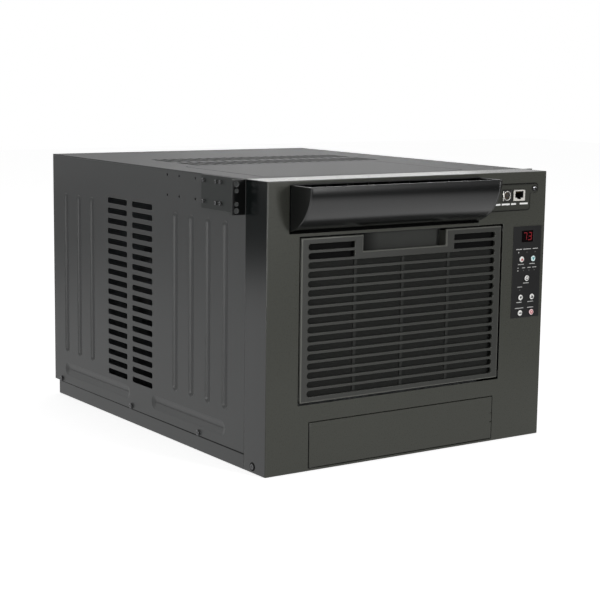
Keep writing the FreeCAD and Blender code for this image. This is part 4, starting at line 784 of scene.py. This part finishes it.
padLook = {
    "film": (164.8, 213.6, 161.5, 283.3), "filmRound": 1.0, "filmBack": -288.25, "filmEdge": 0.15,
    "stemHole": 2.2, "window": (179.05, 199.35, 261.9, 277.7), "windowRound": 0.6, "face": -289.05,
    # the dashes' height, middles and lengths
    "dashHeight": 1.0,
    "dashes": (
        (175.0, 253.0, 10.4), (189.1, 253.0, 13.7), (203.8, 253.0, 9.0), (179.2, 233.0, 10.4),
        (198.9, 233.0, 9.6), (174.2, 228.2, 2.6), (184.0, 228.2, 5.6), (193.8, 228.2, 5.6),
        (203.0, 228.2, 7.2), (189.2, 207.7, 9.8), (178.6, 202.8, 8.4), (178.0, 182.4, 9.0),
        (198.2, 182.4, 10.0), (178.6, 174.6, 15.0), (198.2, 174.6, 10.8),
    ),
    # a lamp's dome, and the lamps that are lit and dark
    "lampDome": ((0, 0), (0.9, 0), (0.81, 0.2), (0.45, 0.4), (0, 0.45)), "lampSunk": 0.05, "lampSmooth": 40,
    "lit": ((174.6, 248.8), (174.2, 224.6)),
    "dark": ((189.1, 248.8), (203.6, 248.8), (184.0, 224.6), (193.8, 224.6), (203.0, 224.6), (178.6, 198.8)),
    # a seven and a three
    "figures": ((185.2, 269.8, "abc"), (193.6, 269.8, "abgcd")), "digit": (5.2, 9.4), "stroke": 0.78,
    "cut": 0.7, "slant": 0.1, "figureLift": 0.05,
}


def dashPrint(name, meshName, look, face, ink, lift=0.03, sunk=0.1):
    bm = bmesh.new()
    half = look["dashHeight"] / 2
    for x, z, width in look["dashes"]:
        boxInto(bm, (x - width / 2, face - lift, z - half), (x + width / 2, face + sunk, z + half))
    addPiece(name, meshFrom(bm, meshName), "case", None, [ink])


def controlPad(look):
    face, half = look["face"], look["stemHole"]
    holes = [roundedOutline(*look["window"], look["windowRound"], steps=3)]
    for button in buttonMarks:
        low, high = (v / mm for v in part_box(button))
        x, _, z = (low + high) / 2
        holes.append([(x + u * half, z + v * half) for u, v in squareCorners])
    film = plateMesh(roundedOutline(*look["film"], look["filmRound"]), holes, face, look["filmBack"],
                     look["filmEdge"], frontAxes)
    addPiece("control_film", film, "case", "overlay_film", stands=["control_overlay"])
    dashPrint("pad_print", "padPrint", look, face, "printSilver")
    for label, ink in (("lit", "ledWhite"), ("dark", "ledDark")):
        bm = bmesh.new()
        for x, z in look[label]:
            turnedInto(bm, look["lampDome"], aim((0, -1, 0), (x, face + look["lampSunk"], z)), steps=20)
        addPiece("pad_lamps_" + label, meshFrom(bm, "padLamps", look["lampSmooth"]), "case", None, [ink])
    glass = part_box("display_module")[0].y / mm - look["figureLift"]
    (wide, tall), stroke = look["digit"], look["stroke"]
    flat, upright = wide - stroke * look["cut"], tall / 2 - stroke * look["cut"]
    bars = {"a": (0, tall / 2, flat, stroke), "g": (0, 0, flat, stroke), "d": (0, -tall / 2, flat, stroke),
            "b": (wide / 2, tall / 4, stroke, upright), "c": (wide / 2, -tall / 4, stroke, upright)}
    bm = bmesh.new()
    for x, z, segments in look["figures"]:
        for u, v, du, dv in (bars[key] for key in segments):
            corners = []
            for su, sv in squareCorners:
                up = v + sv * dv / 2
                across = u + su * du / 2 + up * look["slant"]
                corners.append(bm.verts.new(Vector((x + across, glass, z + up)) * mm))
            bm.faces.new(corners)
    addPiece("display_figures", meshFrom(bm, "displayFigures"), "case", None, ["ledRed"])


controlPad(padLook)
print("control pad made")


# sockets: lining, contacts and pin holes, and the dashes under them

socketLook = {
    "network": (171.2, 324.5), "cup": (13.2, 7.6), "key": (6.2, 2.4), "mouth": -290.05, "deep": 13.0,
    "skin": 0.35, "lip": 0.5, "proud": 0.03, "setBack": 0.4, "contacts": 8, "contactPitch": 1.02,
    # half width, start behind the mouth, and top and bottom under the lining
    "contact": (0.2, 3.0, 0.8, 1.2),
    "serial": (150.6, 324.5), "shell": (6.1, 5.2), "shellDeep": 6.0, "shellEdge": (0.2, 0.1), "shellSmooth": 35,
    "tab": (-7.5, -5.9, -6.6, 6.6), "tabProud": 0.02, "tabEdge": 0.1, "pins": 8, "pinRing": 2.7,
    "pinHole": 0.55, "pinLift": 0.06, "plateFace": -289.25, "dashHeight": 2.2,
    "dashes": ((134.3, 313.5, 10.7), (148.8, 313.5, 13.7), (162.2, 313.5, 8.4), (180.1, 313.5, 14.2)),
}


def sockets(look):
    x, z = look["network"]
    (wide, tall), (keyWide, keyTall) = look["cup"], look["key"]
    mouth, skin, lip, w, k = look["mouth"], look["skin"], look["lip"], wide / 2, keyWide / 2
    low, high, keyLow = z - tall / 2 + keyTall / 2, z + tall / 2 + keyTall / 2, z - tall / 2 - keyTall / 2
    back, inside = mouth + look["deep"], mouth + look["setBack"]
    rims = ((-w - lip, -w, low - lip, high + lip), (w, w + lip, low - lip, high + lip), (-w, w, high, high + lip),
            (-w, -k, low - lip, low), (k, w, low - lip, low))
    walls = ((-w, skin - w, low, high), (w - skin, w, low, high), (-w, w, high - skin, high),
             (-w, -k, low, low + skin), (k, w, low, low + skin), (-k, skin - k, keyLow, low),
             (k - skin, k, keyLow, low), (-k, k, keyLow, keyLow + skin))
    bm = bmesh.new()
    for panels, y0, y1 in ((rims, mouth - look["proud"], mouth + lip), (walls, inside, back),
                           (((-w, w, keyLow, high),), back - skin, back)):
        for u0, u1, v0, v1 in panels:
            boxInto(bm, (x + u0, y0, v0), (x + u1, y1, v1))
    addPiece("network_jack_lining", meshFrom(bm, "networkLining"), "case", "socket_black")
    bm = bmesh.new()
    half, start, upper, lower = look["contact"]
    for i in range(look["contacts"]):
        cx = x + (i - (look["contacts"] - 1) / 2) * look["contactPitch"]
        boxInto(bm, (cx - half, mouth + start, high - skin - lower), (cx + half, back - skin, high - skin - upper))
    addPiece("network_jack_contacts", meshFrom(bm, "networkContacts"), "case", None, ["gold"])
    x, z = look["serial"]
    (outer, inner), (across, down), deepest = look["shell"], look["shellEdge"], -look["shellDeep"]
    bm = bmesh.new()
    turnedInto(bm, [(outer, deepest), (outer, -down), (outer - across, 0), (inner + across, 0), (inner, -down),
                    (inner, deepest)], aim((0, -1, 0), (x, mouth, z)), steps=40)
    u0, u1, v0, v1 = look["tab"]
    boxInto(bm, (x + u0, mouth - look["tabProud"], z + v0), (x + u1, inside, z + v1), look["tabEdge"])
    shell = meshFrom(bm, "serialShell", look["shellSmooth"])
    addPiece("serial_socket_shell", shell, "case", "socket_shell")
    bm = bmesh.new()
    r, lift, ring = look["pinHole"], look["pinLift"], look["pinRing"]
    for i in range(look["pins"]):
        turn = 2 * math.pi * (i + 0.5) / look["pins"]
        place = (x + ring * math.cos(turn), look["plateFace"], z + ring * math.sin(turn))
        turnedInto(bm, [(0, 0), (r, 0), (r, lift), (0, lift)], aim((0, -1, 0), place), steps=12)
    addPiece("serial_socket_pins", meshFrom(bm, "serialPins"), "case", None, ["gold"])
    dashPrint("socket_print", "socketPrint", look, look["plateFace"], "printWhite")


sockets(socketLook)
print("sockets made")


# painted shade: a thin black sheet round the socket plate shows as a dark line

plateShadeLook = {"face": -288.25, "thick": 0.4, "show": 1.1}


def plateShadeRing(look):
    mesh = nodes["interface_plate"].data.copy()
    low, high = (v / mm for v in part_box("interface_plate"))
    middle, half = (low + high) / 2, (high - low) / 2
    for vert in mesh.vertices:
        x, y, z = vert.co / mm - middle
        depth = look["face"] - (look["thick"] if y < 0 else 0.0)
        vert.co = Vector((middle.x + x * (1 + look["show"] / half.x), depth,
                          middle.z + z * (1 + look["show"] / half.z))) * mm
    mesh.materials.clear()
    addPiece("interface_plate_shade", mesh, "case", "grommet_rubber")


plateShadeRing(plateShadeLook)
print("gasket made")


# painted shade: a black strip in the seam between the side panels and the base, taller towards the front

seamShadeLook = {
    "half": 220.0, "proud": 0.06, "deep": 1.0, "seam": 19.25,
    # place and half height of each end
    "ends": ((-240.0, 0.9), (273.5, 0.3)),
}


def seamShade(look):
    bm = bmesh.new()
    inner, outer = look["half"] - look["deep"], look["half"] + look["proud"]
    for side in (-1, 1):
        ends = [[bm.verts.new(Vector((side * x, y, look["seam"] + dz)) * mm)
                 for x, dz in ((inner, -full), (outer, -full), (outer, full), (inner, full))]
                for y, full in look["ends"]]
        bridge(bm, *ends)
        for end in ends:
            bm.faces.new(end)
    addPiece("seam_shade", meshFrom(bm, "seamShade"), "case", "grommet_rubber")


seamShade(seamShadeLook)
print("seam seal made")


# studio in metres: pale floor, white world, soft lamps and the camera

stageLook = {
    "floor": "#f2f2f2", "floorSize": 12.0, "floorDrop": 0.0005, "floorGlow": 0.66, "worldDiffuse": 0.36,
    "poolCentre": (-0.5, 0.1, 0.0), "poolRadius": 1.8, "poolEdge": 0.5, "poolNear": 0.85, "poolFar": 0.03,
    "roomFront": 0.15, "roomSpan": (-0.6, 0.4),
    # power, width and height, place, target
    "lamps": {
        "keyLamp": (38.0, (0.55, 0.7), (0.85, -2.9, 0.7), (0, -0.2, 0.2)),
        "fillLamp": (18.5, (1.0, 1.2), (-2.5, -1.3, 0.7), (-0.2, 0, 0.15)),
        "stripLamp": (10.0, (0.35, 0.5), (-2.4, -0.75, 0.2), (-0.2, 0, 0.18)),
        "rimLamp": (2.0, (1.0, 0.12), (1.75, 2.4, 0.8), (0, -0.2, 0.35)),
        "topLamp": (6.0, (2.0, 2.0), (0.2, 0.6, 2.4), (0, 0, 0.2)),
    },
}


def facing(place, target):
    return (Vector(target) - Vector(place)).to_track_quat("-Z", "Y")


def rays(tree):
    ray = addNode(tree, "ShaderNodeLightPath").outputs
    return maths(tree, "MAXIMUM", ray["Is Camera Ray"], ray["Is Transmission Ray"]), ray["Is Glossy Ray"]


def studio(look):
    mesh = bpy.data.meshes.new("floor")
    s = look["floorSize"] / 2
    mesh.from_pydata([(u * s, v * s, 0) for u, v in squareCorners], [], [(0, 1, 2, 3)])
    floor = bpy.data.objects.new("floor", mesh)
    floor.location.z = -look["floorDrop"]
    scene.collection.objects.link(floor)
    material, tree, coords = newMaterial("matPaperWhite")
    seen, glossy = rays(tree)
    paper = addNode(tree, "ShaderNodeBsdfDiffuse", {"Color": hexToLinear(look["floor"])})
    glow = addNode(tree, "ShaderNodeEmission", None, {"Strength": maths(tree, "MULTIPLY", seen, look["floorGlow"])})
    plain = addNode(tree, "ShaderNodeAddShader", None, {0: paper.outputs[0], 1: glow.outputs[0]})
    # painted light: in reflections the paper glows bright near the object and falls off into the room
    settings = {"vector_type": "TEXTURE", "Location": look["poolCentre"], "Scale": [look["poolRadius"]] * 3}
    spread = addNode(tree, "ShaderNodeMapping", settings, {"Vector": coords["Object"]})
    pool = addNode(tree, "ShaderNodeTexGradient", {"gradient_type": "SPHERICAL"}, {"Vector": spread.outputs[0]})
    mirror = mapped(tree, pool.outputs["Fac"], 0.0, look["poolEdge"], look["poolFar"], look["poolNear"],
                    "SMOOTHSTEP")
    lit = addNode(tree, "ShaderNodeEmission", None, {"Strength": mirror})
    either = addNode(tree, "ShaderNodeMixShader", None, {0: glossy, 1: plain.outputs[0], 2: lit.outputs[0]})
    addNode(tree, "ShaderNodeOutputMaterial", None, {"Surface": either.outputs[0]})
    mesh.materials.append(material)

    world = bpy.data.worlds.new("studioWhite")
    scene.world = world
    world.use_nodes = True
    tree = world.node_tree
    tree.nodes.clear()
    seen, glossy = rays(tree)
    plain = mapped(tree, seen, 0.0, 1.0, look["worldDiffuse"], 1.0)
    # reflections see the white backdrop behind and a dimmer room in front
    heading = axisOf(tree, addNode(tree, "ShaderNodeTexCoord").outputs["Generated"], "Y")
    room = mapped(tree, heading, *look["roomSpan"], look["roomFront"], 1.0)
    level = addNode(tree, "ShaderNodeMix", {"data_type": "FLOAT"}, {0: glossy, 2: plain, 3: room})
    sky = addNode(tree, "ShaderNodeBackground", {"Color": (1.0, 1.0, 1.0, 1.0)}, {"Strength": level.outputs[0]})
    addNode(tree, "ShaderNodeOutputWorld", None, {"Surface": sky.outputs[0]})

    for name, (power, size, place, target) in look["lamps"].items():
        lamp = bpy.data.lights.new(name, "AREA")
        lamp.energy = power
        lamp.shape = "RECTANGLE"
        lamp.size, lamp.size_y = size
        holder = bpy.data.objects.new(name, lamp)
        holder.location = place
        holder.visible_camera = False
        holder.rotation_euler = facing(place, target).to_euler()
        scene.collection.objects.link(holder)


cameraLook = {
    "place": (-1.19824, -1.78531, 0.49355), "target": (0.02510, 0.0, 0.15812), "roll": 0.77,
    "lens": 92.38, "sensor": 36.0, "clip": (0.05, 50),
}


def camera(look):
    data = bpy.data.cameras.new("camera")
    data.lens = look["lens"]
    data.sensor_width = look["sensor"]
    data.clip_start, data.clip_end = look["clip"]
    holder = bpy.data.objects.new("camera", data)
    holder.location = look["place"]
    holder.rotation_mode = "QUATERNION"
    roll = Matrix.Rotation(math.radians(look["roll"]), 4, "Z").to_quaternion()
    holder.rotation_quaternion = facing(look["place"], look["target"]) @ roll
    scene.collection.objects.link(holder)
    scene.camera = holder


studio(stageLook)
camera(cameraLook)
print("studio and camera set")
